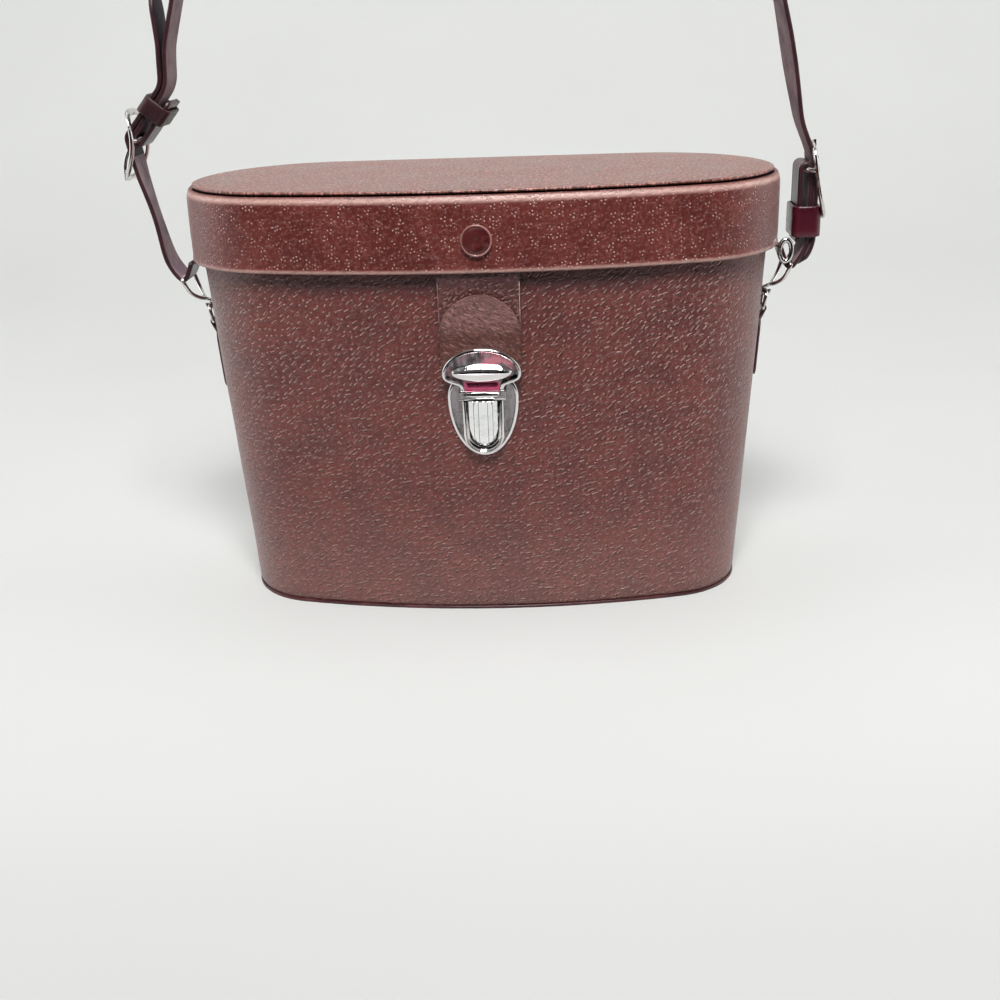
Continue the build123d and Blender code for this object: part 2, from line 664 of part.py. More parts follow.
def fold_round_clip(side, upwards, radii):
    """Line of a strap from its short end, round the clip's bar and on through the given points."""
    bar = Vector(CLIP_BAR[0], CLIP_BAR[1])
    start_angle, end_angle = 200.0, 325.0
    inner = bar + Vector(FOLD * cos(radians(start_angle)), FOLD * sin(radians(start_angle)))
    outer = bar + Vector(FOLD * cos(radians(end_angle)), FOLD * sin(radians(end_angle)))
    short_end = inner + Vector(sin(radians(start_angle)), -cos(radians(start_angle))) * INNER_END
    with BuildLine() as line:
        Line(short_end, inner)
        CenterArc(bar, FOLD, start_angle, end_angle - start_angle)
        FilletPolyline(outer, *upwards, radius=radii)
        if side < 0:
            mirror(about=Plane.YZ, mode=Mode.REPLACE)
    return line.line


def clip_on(side):
    """Bent wire clip: a bar for the strap and a hook that closes round the D-ring."""
    lean = radians(CLIP_LEAN)
    with BuildPart() as clip:
        meet = CLIP_LEAN + degrees(atan2(sqrt(CLIP_NECK**2 - CLIP_CURL**2), CLIP_CURL))
        with BuildLine(Plane((RING_TOP[0], 0, RING_TOP[1]), x_dir=(1, 0, 0), z_dir=(0, -1, 0))) as hook:
            Line(
                (CLIP_NECK * cos(lean), CLIP_NECK * sin(lean)),
                (CLIP_CURL * cos(radians(meet)), CLIP_CURL * sin(radians(meet))),
            )
            CenterArc((0, 0), CLIP_CURL, meet, 255)
        hook_wire = hook.wires()[0]
        with BuildSketch(Plane(hook_wire @ 0, z_dir=hook_wire % 0)):
            Circle(CLIP_WIRE)
        sweep(path=hook_wire)
        loop_plane = Plane(
            (RING_TOP[0], 0, RING_TOP[1]),
            x_dir=(0, 1, 0),
            z_dir=(sin(lean), 0, -cos(lean)),
        )
        with BuildLine(loop_plane) as loop:
            FilletPolyline(
                (0, CLIP_NECK),
                (CLIP_HALF, CLIP_NECK + 4.3),
                (CLIP_HALF, CLIP_REACH),
                (-CLIP_HALF, CLIP_REACH),
                (-CLIP_HALF, CLIP_NECK + 4.3),
                radius=1.2,
                close=True,
            )
        loop_wire = loop.wires()[0]
        with BuildSketch(Plane(loop_wire @ 0, z_dir=loop_wire % 0)):
            Circle(CLIP_WIRE)
        sweep(path=loop_wire)
    return clip.part if side > 0 else clip.part.mirror(Plane.YZ)


for name, side in SIDES:
    with BuildPart() as strap_clip:
        add(clip_on(side))
    keep(strap_clip, f"strap_clip_{name}")


class BuckleFrame:
    """Maps a buckle's own directions, n outwards and s towards the prong's tip, into X and Z."""

    def __init__(self, bar, out, tip):
        self.bar, self.out, self.tip = bar, out, tip

    def at(self, n, s):
        return (self.bar[0] + n * self.out[0] + s * self.tip[0], self.bar[1] + n * self.out[1] + s * self.tip[1])

    def points(self, *pairs):
        return [self.at(n, s) for n, s in pairs]


lean = radians(LEFT_LEAN)
RIGHT = BuckleFrame(RIGHT_BAR, (1, 0), (0, 1))
LEFT = BuckleFrame(LEFT_BAR, (-1, 0), (0, -1))
LEFT_FOLD = BuckleFrame(LEFT_BAR, (-cos(lean), sin(lean)), (-sin(lean), -cos(lean)))


def buckle_on(frame, tip, back):
    """Bowed centre-bar buckle; tip and back are the (n, s) of its two ends."""
    with BuildPart() as buckle:
        with BuildLine(Plane.XZ) as bow:
            ThreePointArc(frame.at(*tip), frame.at(0, 0), frame.at(*back))
        with BuildSketch(Plane(bow.wires()[0] @ 0, x_dir=(0, 1, 0), z_dir=bow.wires()[0] % 0)):
            RectangleRounded(2 * FRAME_HALF, FRAME_THICK, 0.5)
        sweep(path=bow.wires()[0])
        with BuildSketch(Plane.XZ):
            low, high = back[1] + FRAME_END, tip[1] - FRAME_END
            Polygon(*frame.points((-9, high), (12, high), (12, low), (-9, low)), align=None)
        extrude(amount=FRAME_HALF - FRAME_RAIL, both=True, mode=Mode.SUBTRACT)
        with BuildSketch(Plane.XZ):
            with Locations(frame.at(0, 0)):
                Circle(BAR_RADIUS)
        extrude(amount=FRAME_HALF - 0.4, both=True)
    return buckle.part


def prong_on(frame, tip):
    """Prong curled round the bar, out through the strap's hole, resting on the buckle's end."""
    with BuildPart() as prong:
        with BuildSketch(Plane.XZ):
            with Locations(frame.at(0, 0)):
                Circle(LAYER + 0.1)
                Circle(BAR_RADIUS + SMALL, mode=Mode.SUBTRACT)
        extrude(amount=1.1, both=True)
        rest = tip[0] + FRAME_THICK / 2 + PRONG + 0.05
        with BuildLine(Plane.XZ) as shank:
            FilletPolyline(*frame.points((1.1, 1.0), (5.0, 3.0), (rest, tip[1] + 1.2)), radius=1.2)
        with BuildSketch(Plane(shank.wires()[0] @ 0, z_dir=shank.wires()[0] % 0)):
            Circle(PRONG)
        sweep(path=shank.wires()[0])
    return prong.part


def keeper_on(frame, centre, height):
    """Leather loop round both layers of the fold and the strap's tail."""
    with BuildPart() as keeper:
        inner, outer = -LAYER - STRAP_THICK / 2 - KEEPER_PLAY, TAIL + STRAP_THICK / 2 + KEEPER_PLAY
        low, high = centre - height / 2, centre + height / 2
        wall = KEEPER_WALL
        with BuildSketch(Plane.XZ):
            Polygon(*frame.points((inner - wall, low), (outer + wall, low), (outer + wall, high), (inner - wall, high)),
                    align=None)
        extrude(amount=STRAP_WIDTH / 2 + KEEPER_PLAY + wall, both=True)
        fillet(keeper.edges().group_by(SortBy.LENGTH)[0], 0.8)
        with BuildSketch(Plane.XZ):
            Polygon(*frame.points((inner, low - 1), (outer, low - 1), (outer, high + 1), (inner, high + 1)), align=None)
        extrude(amount=STRAP_WIDTH / 2 + KEEPER_PLAY, both=True, mode=Mode.SUBTRACT)
    return keeper.part


def slot(frame, half, n_span, s_span):
    """Cutting block across a strap for the prong."""
    with BuildPart() as cutter:
        with BuildSketch(Plane.XZ):
            Polygon(*frame.points((n_span[0], s_span[0]), (n_span[1], s_span[0]), (n_span[1], s_span[1]),
                                  (n_span[0], s_span[1])), align=None)
        extrude(amount=half, both=True)
    return cutter.part


RIGHT_TIP, RIGHT_BACK = (4.2, 8.4), (10.4, -16.6)
LEFT_TIP, LEFT_BACK = (5.0, 14.0), (5.0, -9.5)
RIGHT_KEEPER = -17.5
LEFT_KEEPER = -11.5
LEFT_BEND = 20.5           # where the left fold's straight ends
FOLD_SLOT = 1.6
HOLE_SLOT = 1.2
SHOULDER_RADIUS = 85.0

for name, frame, tip, back in (("right", RIGHT, RIGHT_TIP, RIGHT_BACK), ("left", LEFT, LEFT_TIP, LEFT_BACK)):
    with BuildPart() as buckle:
        add(buckle_on(frame, tip, back))
    keep(buckle, f"buckle_{name}")
    with BuildPart() as prong:
        add(prong_on(frame, tip))
    keep(prong, f"prong_{name}")

for name, frame, centre in (("right", RIGHT, RIGHT_KEEPER), ("left", LEFT_FOLD, LEFT_KEEPER)):
    with BuildPart() as keeper:
        add(keeper_on(frame, centre, 10.5 if name == "right" else 9.0))
    keep(keeper, f"keeper_{name}")

# right lower strap: folded round the clip, up to the buckle's bar and down again on the inside
with BuildPart() as chape_right:
    add(strap_piece(fold_round_clip(1, RIGHT.points((LAYER, -26.1), (LAYER, LAYER), (-LAYER, LAYER), (-LAYER, -24.5)),
                                    [4.0, LAYER - 0.05, LAYER - 0.05])))
    add(slot(RIGHT, FOLD_SLOT, (-4, 4), (-2.8, 4)), mode=Mode.SUBTRACT)
keep(chape_right, "chape_right")

# left lower strap: folded round its clip, up through the buckle, its tail running on beside the shoulder strap
left_lower = mirrored([(-113.0, 123.5), (-114.9, 136.3), (-118.6, 152.0), (-121.15, 167.1)])
left_upper = mirrored([LEFT_FOLD.at(TAIL, 0.6 - LEFT_BEND), (-106.4, 196.4), (-107.2, 214.0)])
with BuildPart() as billet_left:
    add(strap_piece(fold_round_clip(-1, left_lower + left_upper, [6.0, 40.0, 40.0, 3.5, 8.0, 30.0])))
    add(slot(LEFT, HOLE_SLOT, (0, 8), (0.6, 4.6)), mode=Mode.SUBTRACT)
keep(billet_left, "billet_left")

# shoulder strap: folded round the left buckle's bar, over the top, down through the right buckle and keeper
with BuildPart() as shoulder_strap:
    with BuildLine() as shoulder_line:
        FilletPolyline(
            *LEFT_FOLD.points((-LAYER, -17.0), (-LAYER, LAYER), (LAYER, LAYER), (LAYER, -LEFT_BEND)),
            (-104.3, 195.5),
            (-86.0, 255.0),
            (-40.0, 296.0),
            (30.0, 300.0),
            (88.0, 258.0),
            (103.2, 193.0),
            (108.8, 165.3),
            *RIGHT.points((1.2, 7.2), (TAIL, 0.6), (TAIL, -28.0)),
            radius=[LAYER - 0.05, LAYER - 0.05, 8.0, 40.0] + [SHOULDER_RADIUS] * 4 + [60.0, 30.0, 20.0, 10.0],
        )
    add(strap_piece(shoulder_line.line))
    add(slot(LEFT_FOLD, FOLD_SLOT, (-4, 4), (-2.8, 4)), mode=Mode.SUBTRACT)
    add(slot(RIGHT, HOLE_SLOT, (1, 8), (0.6, 4.6)), mode=Mode.SUBTRACT)
keep(shoulder_strap, "shoulder_strap")
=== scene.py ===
"""Looks of a binocular hard case: grained leathercloth box and lid, nickel catch, glossy shoulder strap.

Lengths are in millimetres and are turned to metres where vertices are made; shader recipes work in metres.
Angles are in degrees. The front faces -Y.
"""
import math

import bmesh
import bpy
from mathutils import Matrix, Vector, noise


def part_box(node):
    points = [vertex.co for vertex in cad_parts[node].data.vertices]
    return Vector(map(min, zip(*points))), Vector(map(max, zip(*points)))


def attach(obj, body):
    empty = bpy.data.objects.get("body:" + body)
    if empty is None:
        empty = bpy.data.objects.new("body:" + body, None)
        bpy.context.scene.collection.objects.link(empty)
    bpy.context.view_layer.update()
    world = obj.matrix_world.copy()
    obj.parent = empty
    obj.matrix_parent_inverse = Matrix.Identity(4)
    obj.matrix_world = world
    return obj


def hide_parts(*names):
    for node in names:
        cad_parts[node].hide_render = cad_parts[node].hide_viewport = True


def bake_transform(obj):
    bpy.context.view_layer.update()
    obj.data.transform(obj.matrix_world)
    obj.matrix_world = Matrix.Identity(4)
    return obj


MM = 0.001                      # metres in a millimetre
X_AXIS, Y_AXIS, Z_AXIS = Vector((1, 0, 0)), Vector((0, 1, 0)), Vector((0, 0, 1))
SIDES = (("left", -1), ("right", 1))

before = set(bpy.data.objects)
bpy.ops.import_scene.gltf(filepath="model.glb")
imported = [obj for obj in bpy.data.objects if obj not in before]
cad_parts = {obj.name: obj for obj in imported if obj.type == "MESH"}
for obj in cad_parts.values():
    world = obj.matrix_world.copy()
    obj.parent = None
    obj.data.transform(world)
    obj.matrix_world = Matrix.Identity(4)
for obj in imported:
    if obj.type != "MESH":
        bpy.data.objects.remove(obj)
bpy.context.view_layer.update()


def linked(name, data):
    """New object in the scene."""
    made = bpy.data.objects.new(name, data)
    bpy.context.scene.collection.objects.link(made)
    return made


# ---------------------------------------------------------------- camera
CAMERA_AT = Vector((23.150, -453.776, 206.664)) * MM
CAMERA_LOOKS = Vector((-0.042054, 0.929940, -0.365300))
CAMERA_UP = Vector((0.018231, 0.366276, 0.930327))
CAMERA_LENS = 45.856
SENSOR_WIDTH = 36
NEAREST_SEEN = 0.01

camera_data = bpy.data.cameras.new("camera")
camera_data.lens = CAMERA_LENS
camera_data.sensor_width = SENSOR_WIDTH
camera_data.clip_start = NEAREST_SEEN
camera_right = CAMERA_LOOKS.cross(CAMERA_UP).normalized()
camera_turn = Matrix((camera_right, CAMERA_UP, -CAMERA_LOOKS)).transposed().to_4x4()
camera = linked("camera", camera_data)
camera.matrix_world = Matrix.Translation(CAMERA_AT) @ camera_turn
bpy.context.scene.camera = camera

# ---------------------------------------------------------------- sizes, from the frame where it has them
lid_low, lid_high = (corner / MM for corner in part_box("lid_cover"))
DECK_LOW, DECK_HIGH = (corner.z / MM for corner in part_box("lid_deck"))
CASE_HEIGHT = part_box("lid_top")[1].z / MM
RIM_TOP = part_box("rim_binding")[1].z / MM
BASE_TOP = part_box("base_panel")[1].z / MM
LID_WIDTH = lid_high.x - lid_low.x
HALF_DEPTH = (lid_high.y - lid_low.y) / 2
LID_BOTTOM = lid_low.z
BODY_INSET = 3.6                         # from the lid's outline to the body's covered wall under the lid
LEAN = math.tan(math.radians(3.66))      # how fast the body's walls draw in towards its base
TAPER = math.atan(LEAN)

# plan outline: the back half has round ends about BACK_CENTRE, the front half smaller ones and a bow between
FRONT_END = 39.5
BACK_CENTRE = LID_WIDTH / 2 - HALF_DEPTH
FRONT_CENTRE = LID_WIDTH / 2 - FRONT_END
FRONT_BOW = (FRONT_CENTRE**2 + HALF_DEPTH**2 - FRONT_END**2) / (2 * (HALF_DEPTH - FRONT_END))
BOW_CENTRE = FRONT_BOW - HALF_DEPTH
BOW_ANGLE = math.degrees(math.atan2(FRONT_CENTRE, BOW_CENTRE))
BACK_STEPS, STRAIGHT_STEPS, END_STEPS, BOW_STEPS = 16, 28, 15, 40


# ---------------------------------------------------------------- points and lines
def arc(centre, radius, start, sweep, steps, last=False):
    """Points (x, y) on an arc, its last one only if asked for; a pair of radii makes it an ellipse's."""
    wide, tall = radius if isinstance(radius, tuple) else (radius, radius)
    angles = [math.radians(start + sweep * i / steps) for i in range(steps + last)]
    return [(centre[0] + wide * math.cos(a), centre[1] + tall * math.sin(a)) for a in angles]


def moved(points, across, up):
    """The same 2-D points, all moved alike."""
    return [(u + across, v + up) for u, v in points]


def mirrored(points):
    """Points of one side, and after them the same ones mirrored to the other, in the opposite order."""
    return [*points, *((-u, v) for u, v in points[::-1])]


def rectangle(half, low, high, centre=0.0):
    return [(centre - half, low), (centre + half, low), (centre + half, high), (centre - half, high)]


def offset_outline(points, amount):
    """Closed (u, v) outline moved inwards by amount, its direction counter-clockwise."""
    inner = []
    for before, (u, v), after in zip(points[-1:] + points, points, points[1:] + points[:1]):
        along = Vector((after[0] - before[0], after[1] - before[1])).normalized()
        inner.append((u - along.y * amount, v + along.x * amount))
    return inner


def cut_flat(outline, top):
    """Closed outline with whatever stands above top cut off straight."""
    cut = [(u, min(v, top)) for u, v in outline]
    around = zip(cut[-1:] + cut, cut, cut[1:] + cut[:1])
    return [here for before, here, after in around if min(before[1], here[1], after[1]) < top]


def direction(route, i):
    """Unit vector along a line of points at its point i."""
    return (route[min(i + 1, len(route) - 1)] - route[max(i - 1, 0)]).normalized()


def run_lengths(route):
    """Distance run along a line of points, up to each of them."""
    lengths = [0.0]
    for a, b in zip(route, route[1:]):
        lengths.append(lengths[-1] + (b - a).length)
    return lengths


def case_ring(inset, z):
    """The case's plan outline at a height, parallel to the lid's: flat back, round ends, bowed front."""
    back, end, bow = HALF_DEPTH - inset, FRONT_END - inset, FRONT_BOW - inset
    plan = arc((BACK_CENTRE, 0), back, 0, 90, BACK_STEPS)
    plan += [(BACK_CENTRE - 2 * BACK_CENTRE * i / STRAIGHT_STEPS, back) for i in range(STRAIGHT_STEPS)]
    plan += arc((-BACK_CENTRE, 0), back, 90, 90, BACK_STEPS)
    plan += arc((-FRONT_CENTRE, 0), end, 180, 90 - BOW_ANGLE, END_STEPS)
    plan += arc((0, BOW_CENTRE), bow, 270 - BOW_ANGLE, 2 * BOW_ANGLE, BOW_STEPS)
    plan += arc((FRONT_CENTRE, 0), end, 270 + BOW_ANGLE, 90 - BOW_ANGLE, END_STEPS)
    return [(x, y, z) for x, y in plan]


def case_rings(profile):
    return [case_ring(inset, z) for inset, z in profile]


def wall_inset(inset, z):
    """Inset of the leaning body wall at a height."""
    return inset + max(LID_BOTTOM - z, 0) * LEAN


WAVE_PLAN, WAVE_UP = 38, 30     # size of the covered board's waves, round the case and up it


def waver(rings, amount, seed):
    """Lets covered board wander a little in and out, as glued leathercloth does."""
    wavy = []
    for ring in rings:
        row = []
        for x, y, z in ring:
            out = Vector((x * 0.5, y, 0)).normalized()
            shift = noise.noise(Vector((x / WAVE_PLAN + seed, y / WAVE_PLAN, z / WAVE_UP))) * amount
            row.append((x + out.x * shift, y + out.y * shift, z))
        wavy.append(row)
    return wavy


def turned_rings(centre, across, up, out, profile, steps):
    """Rings of a turned form about out; profile lists (radius, rise) pairs."""
    return [[centre + out * rise + across * x + up * y for x, y in arc((0, 0), radius, 0, 360, steps)]
            for radius, rise in profile]


# ---------------------------------------------------------------- mesh and piece making
CAPPED = {"cap_start": True, "cap_end": True}


def loft(name, rings, closed=True, cap_start=False, cap_end=False, uv=None):
    """Skin over rings of points; u runs round the rings and v along them, in metres, unless uv gives them."""
    mesh = bpy.data.meshes.new(name)
    count = len(rings[0])
    bm = bmesh.new()
    layer = bm.loops.layers.uv.new("wrap")
    rows = [[bm.verts.new(Vector(p) * MM) for p in ring] for ring in rings]
    middle = [Vector(p) for p in rings[len(rings) // 2]]
    around = run_lengths(middle + middle[:1])
    along = [0.0]
    for a, b in zip(rings, rings[1:]):
        along.append(along[-1] + sum((Vector(p) - Vector(q)).length for p, q in zip(a, b)) / count)
    for r in range(len(rings) - 1):
        for i in range(count if closed else count - 1):
            j = (i + 1) % count
            corners = ((r, i, i), (r, j, i + 1), (r + 1, j, i + 1), (r + 1, i, i))
            face = bm.faces.new([rows[row][at] for row, at, _ in corners])
            face.smooth = True
            for loop, (row, at, step) in zip(face.loops, corners):
                place = uv(Vector(rings[row][at])) if uv else (around[step], along[row])
                loop[layer].uv = (place[0] * MM, place[1] * MM)
    for wanted, row in ((cap_start, rows[0][::-1]), (cap_end, rows[-1])):
        if wanted:
            face = bm.faces.new(row)
            face.smooth = True
            for loop in face.loops:
                loop[layer].uv = (loop.vert.co.x, loop.vert.co.z)
    bmesh.ops.recalc_face_normals(bm, faces=bm.faces)
    bm.to_mesh(mesh)
    bm.free()
    return mesh


def new_piece(name, mesh, body, materials, nodes=(), choose=None):
    """Links and paints a finished mesh, names its body, and hides the CAD nodes it stands for.

    choose says which of the materials a face takes; without it every face takes the first one.
    """
    piece = linked(name, mesh)
    if body:
        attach(piece, body)
    if nodes:
        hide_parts(*nodes)
    for material in materials:
        mesh.materials.append(material)
    if choose:
        for face in mesh.polygons:
            face.material_index = int(choose(face))
    return piece


def skin(name, rings, body, slot, materials, nodes=(), choose=None, **ways):
    """Piece made of a skin over rings; ways are passed to loft."""
    return new_piece(name, loft(name, rings, **ways), body, materials, nodes, choose)


def split_edges(piece, degrees):
    """Keeps a smoothly shaded piece crisp where its faces meet at more than the given angle."""
    piece.modifiers.new("edges", "EDGE_SPLIT").split_angle = math.radians(degrees)


# ---------------------------------------------------------------- shader recipes
class Recipe:
    """Short way to place and join shader nodes."""

    def __init__(self, tree):
        self.tree = tree

    def feed(self, node, inputs):
        """Fills a node's inputs: another node's output is joined, anything else is set as a value."""
        for key, value in inputs.items():
            if isinstance(value, bpy.types.NodeSocket):
                self.tree.links.new(value, node.inputs[key])
            else:
                node.inputs[key].default_value = value

    def add(self, kind, inputs=None, **settings):
        node = self.tree.nodes.new(kind)
        for key, value in settings.items():
            setattr(node, key, value)
        self.feed(node, inputs or {})
        return node

    def math(self, operation, a, b=0.0, clamp=False):
        return self.add("ShaderNodeMath", {0: a, 1: b}, operation=operation, use_clamp=clamp).outputs[0]

    def times(self, first, *others):
        for other in others:
            first = self.math("MULTIPLY", first, other)
        return first

    def vector(self, operation, a, b):
        return self.add("ShaderNodeVectorMath", {0: a, 1: b}, operation=operation).outputs[0]

    def length(self, vector):
        return self.add("ShaderNodeVectorMath", {0: vector}, operation="LENGTH").outputs["Value"]

    def parts(self, vector):
        return self.add("ShaderNodeSeparateXYZ", {0: vector}).outputs

    def turned(self, vector, angle):
        """A vector turned about Z, the angle in radians."""
        inputs = {"Vector": vector, "Angle": angle}
        return self.add("ShaderNodeVectorRotate", inputs, rotation_type="Z_AXIS").outputs[0]

    def scaled(self, vector, scale, turn=0.0):
        inputs = {"Vector": vector, "Scale": scale, "Rotation": (0, 0, math.radians(turn))}
        return self.add("ShaderNodeMapping", inputs).outputs[0]

    def span(self, value, low, high, to_low=0.0, to_high=1.0):
        """Eased step between the values low and high."""
        inputs = {"Value": value, "From Min": low, "From Max": high, "To Min": to_low, "To Max": to_high}
        return self.add("ShaderNodeMapRange", inputs, interpolation_type="SMOOTHSTEP").outputs[0]

    def blend(self, share, a, b):
        return self.add("ShaderNodeMix", {0: share, 6: a, 7: b}, data_type="RGBA").outputs[2]

    def noise(self, vector, scale, detail=3.0, rough=0.55, distortion=0.0):
        inputs = {"Vector": vector, "Scale": scale, "Detail": detail, "Roughness": rough,
                  "Distortion": distortion}
        return self.add("ShaderNodeTexNoise", inputs).outputs["Fac"]

    def place(self):
        """The piece's own coordinates."""
        return self.add("ShaderNodeTexCoord").outputs["Object"]

    def wrap(self):
        """Place on a skin: round its rings and along them."""
        return self.add("ShaderNodeUVMap", uv_map="wrap").outputs[0]

    def group(self, tree, **inputs):
        return self.add("ShaderNodeGroup", inputs, node_tree=tree).outputs

    def bump(self, height, depth, strength=1.0):
        """Normal of a relief, its depth in millimetres."""
        inputs = {"Height": height, "Strength": strength, "Distance": depth * MM}
        return self.add("ShaderNodeBump", inputs).outputs[0]


def new_group(name, **inputs):
    """Empty shader node group: its recipe and given values. None as a default makes a vector input."""
    tree = bpy.data.node_groups.new(name, "ShaderNodeTree")
    for label, default in inputs.items():
        kind = "NodeSocketVector" if default is None else "NodeSocketFloat"
        socket = tree.interface.new_socket(label, in_out="INPUT", socket_type=kind)
        if default is not None:
            socket.default_value = default
    return Recipe(tree), tree.nodes.new("NodeGroupInput").outputs


def close_group(r, **results):
    """Gives a group its results, every one a number, and returns its tree."""
    for label in results:
        r.tree.interface.new_socket(label, in_out="OUTPUT", socket_type="NodeSocketFloat")
    r.feed(r.tree.nodes.new("NodeGroupOutput"), results)
    return r.tree


# sizes of the grain's marks, in metres
PITS_PER_METRE, COMMAS_PER_METRE = 318.0, 465.0
DRIFT = 0.0008                                  # how far the marks stray from their cells
# PIT_DROP sets each pit's dark above its pale rim, so the rim shows as a lit lower crescent: painted shade
# and painted highlight
PIT_SPREAD, PIT_SIZE, PIT_DROP = 0.00072, 0.00040, 0.00022
PIT_ANGLES = (80, 200, 325)
SHORTEST, LONGEST = 0.00010, 0.00086            # half lengths of the commas
TAIL_RUN, TAIL_THICK, TAIL_THIN = 0.0018, 0.00026, 0.00013
HEAD_EDGE, HEAD_CORE = 0.00040, 0.00016         # radii of a comma's dot
SHADE_DROP = 0.00042                            # from a comma down to its shaded side
RIPPLE_SLANT = math.radians(-24)


def pigskin_group():
    """Embossed pigskin: pits in threes, and comma-shaped strokes with a shaded side; Lit and Sunk mask
    painted highlight and painted shade.
    """
    r, given = new_group("pigskin grain", Vector=None, Pits=1.0, Strokes=0.5, Slant=0.6)
    place = given["Vector"]
    drift = r.add("ShaderNodeTexNoise", {"Vector": place, "Scale": 420.0, "Detail": 2.0}).outputs["Color"]
    warped = r.vector("ADD", place, r.vector("MULTIPLY", drift, (DRIFT, DRIFT, 0.0)))

    def cells(scale, randomness):
        """Place within the nearest cell, and three chances of that cell's own."""
        inputs = {"Vector": warped, "Scale": scale, "Randomness": randomness}
        found = r.add("ShaderNodeTexVoronoi", inputs, voronoi_dimensions="2D").outputs
        chance = r.add("ShaderNodeSeparateColor", {0: found["Color"]}).outputs
        return r.vector("SUBTRACT", warped, found["Position"]), chance

    # pits in threes, the third one missing here and there
    offset, chance = cells(PITS_PER_METRE, 0.85)
    offset = r.turned(offset, r.span(chance[0], 0.0, 1.0, -0.7, 0.7))
    second, third = r.span(chance[1], 0.15, 0.3), r.span(chance[2], 0.35, 0.5, 0.0, 0.8)
    pits = rims = 0.0
    for angle, share in zip(PIT_ANGLES, (1.0, second, third)):
        at = Vector((math.cos(math.radians(angle)), math.sin(math.radians(angle)), 0)) * PIT_SPREAD
        deep = r.length(r.vector("SUBTRACT", offset, tuple(at + Vector((0, PIT_DROP, 0)))))
        low = r.length(r.vector("SUBTRACT", offset, tuple(at)))
        pits = r.math("MAXIMUM", pits, r.times(r.span(deep, PIT_SIZE, PIT_SIZE * 0.3), share))
        rims = r.math("MAXIMUM", rims, r.times(r.span(low, PIT_SIZE * 0.85, PIT_SIZE * 0.3), share))
    some = r.times(r.span(chance[2], 0.0, 1.0, 0.35, 1.0), given["Pits"])
    pits, rims = r.times(pits, some), r.times(rims, some)

    # commas: a dot with a tail that rises along the slant
    offset, chance = cells(COMMAS_PER_METRE, 0.8)
    tilt = r.math("ADD", given["Slant"], r.span(chance[0], 0.0, 1.0, -0.28, 0.28))
    offset = r.parts(r.turned(offset, r.times(tilt, -1.0)))
    half = r.span(chance[1], 0.1, 1.0, SHORTEST, LONGEST)
    past = r.math("MAXIMUM", r.math("SUBTRACT", r.math("ABSOLUTE", offset["X"]), half), 0.0)
    from_head = r.math("ADD", offset["X"], half)
    taper = r.span(from_head, 0.0, TAIL_RUN, TAIL_THICK, TAIL_THIN)

    def comma(shift):
        across = r.math("ADD", offset["Y"], shift)
        tail = r.length(r.add("ShaderNodeCombineXYZ", {0: past, 1: across}).outputs[0])
        head = r.length(r.add("ShaderNodeCombineXYZ", {0: from_head, 1: across}).outputs[0])
        tail = r.span(r.math("SUBTRACT", tail, taper), 0.00012, -0.00010, 0.0, 0.75)
        return r.math("MAXIMUM", tail, r.span(head, HEAD_EDGE, HEAD_CORE))

    some = r.times(r.span(chance[2], 0.0, 0.55, 0.25, 1.0), given["Strokes"])
    ridge, shade = r.times(comma(0.0), some), r.times(comma(SHADE_DROP), some)

    fine = r.noise(place, 2400.0, 3.0, 0.6)
    speck = r.noise(r.scaled(place, (1.0, 0.55, 1.0)), 1000.0, 2.0, 0.6)
    ripple = r.noise(r.scaled(r.turned(place, RIPPLE_SLANT), (0.5, 1.0, 1.0)), 800.0, 3.0, 0.6)
    # lit and sunk go into the cloth's colour: painted highlight on pit rims and commas, painted shade in pits
    # and on the commas' shaded sides; sunk also lowers the relief
    lit = r.math("MAXIMUM", rims, ridge)
    sunk = r.math("MULTIPLY", r.math("MAXIMUM", pits, shade), r.math("SUBTRACT", 1.0, lit), clamp=True)
    height = r.math("ADD", r.times(fine, 0.15), r.times(ripple, 0.9))
    height = r.math("SUBTRACT", r.math("ADD", height, r.times(ridge, 0.5)), sunk)
    return close_group(r, Height=height, Lit=lit, Sunk=sunk, Tone=r.noise(place, 60.0, 4.0, 0.6),
                       Ripple=ripple, Fine=speck)


def hide_group():
    """Smooth finished hide: fine wrinkles, faint pull-up mottling and rubbed patches."""
    r, given = new_group("smooth hide", Vector=None, Scale=1.0)
    inputs = {0: given["Vector"], "Scale": given["Scale"]}
    place = r.add("ShaderNodeVectorMath", inputs, operation="SCALE").outputs[0]
    inputs = {"Vector": place, "Scale": 1500.0}
    cells = r.add("ShaderNodeTexVoronoi", inputs, feature="DISTANCE_TO_EDGE").outputs[0]
    wrinkles = r.noise(r.scaled(place, (1.0, 1.0, 3.0)), 420.0, 5.0, 0.62, 0.8)
    height = r.math("ADD", r.times(r.span(cells, 0.0, 0.16), 0.35), wrinkles)
    rubbed = r.span(r.noise(place, 90.0, 6.0, 0.65), 0.52, 0.72)
    return close_group(r, Height=height, Rubbed=rubbed, Tone=r.noise(place, 45.0, 3.0))


def handling_group():
    """What years of handling leave on plated metal: smears, fine scratches and dull spots."""
    r, given = new_group("handled metal", Vector=None)
    place = given["Vector"]
    smears = r.span(r.noise(place, 240.0, 5.0, 0.6), 0.42, 0.68)
    scratches = r.span(r.noise(r.scaled(place, (900.0, 900.0, 140.0), 35.0), 1.6, 4.0, 0.7), 0.55, 0.72)
    spots = r.span(r.noise(place, 620.0, 3.0, 0.7), 0.60, 0.74)
    return close_group(r, Dull=smears, Scratch=scratches, Tarnish=spots)


PIGSKIN, HIDE, HANDLING = pigskin_group(), hide_group(), handling_group()


def new_material(name):
    material = bpy.data.materials.new(name)
    material.use_nodes = True
    return material, Recipe(material.node_tree), material.node_tree.nodes["Principled BSDF"]


def colour(red, green, blue):
    """Colour from 0 to 255 display values."""
    return tuple((v / 255 / 12.92) if v / 255 <= 0.04045 else ((v / 255 + 0.055) / 1.055) ** 2.4
                 for v in (red, green, blue)) + (1.0,)
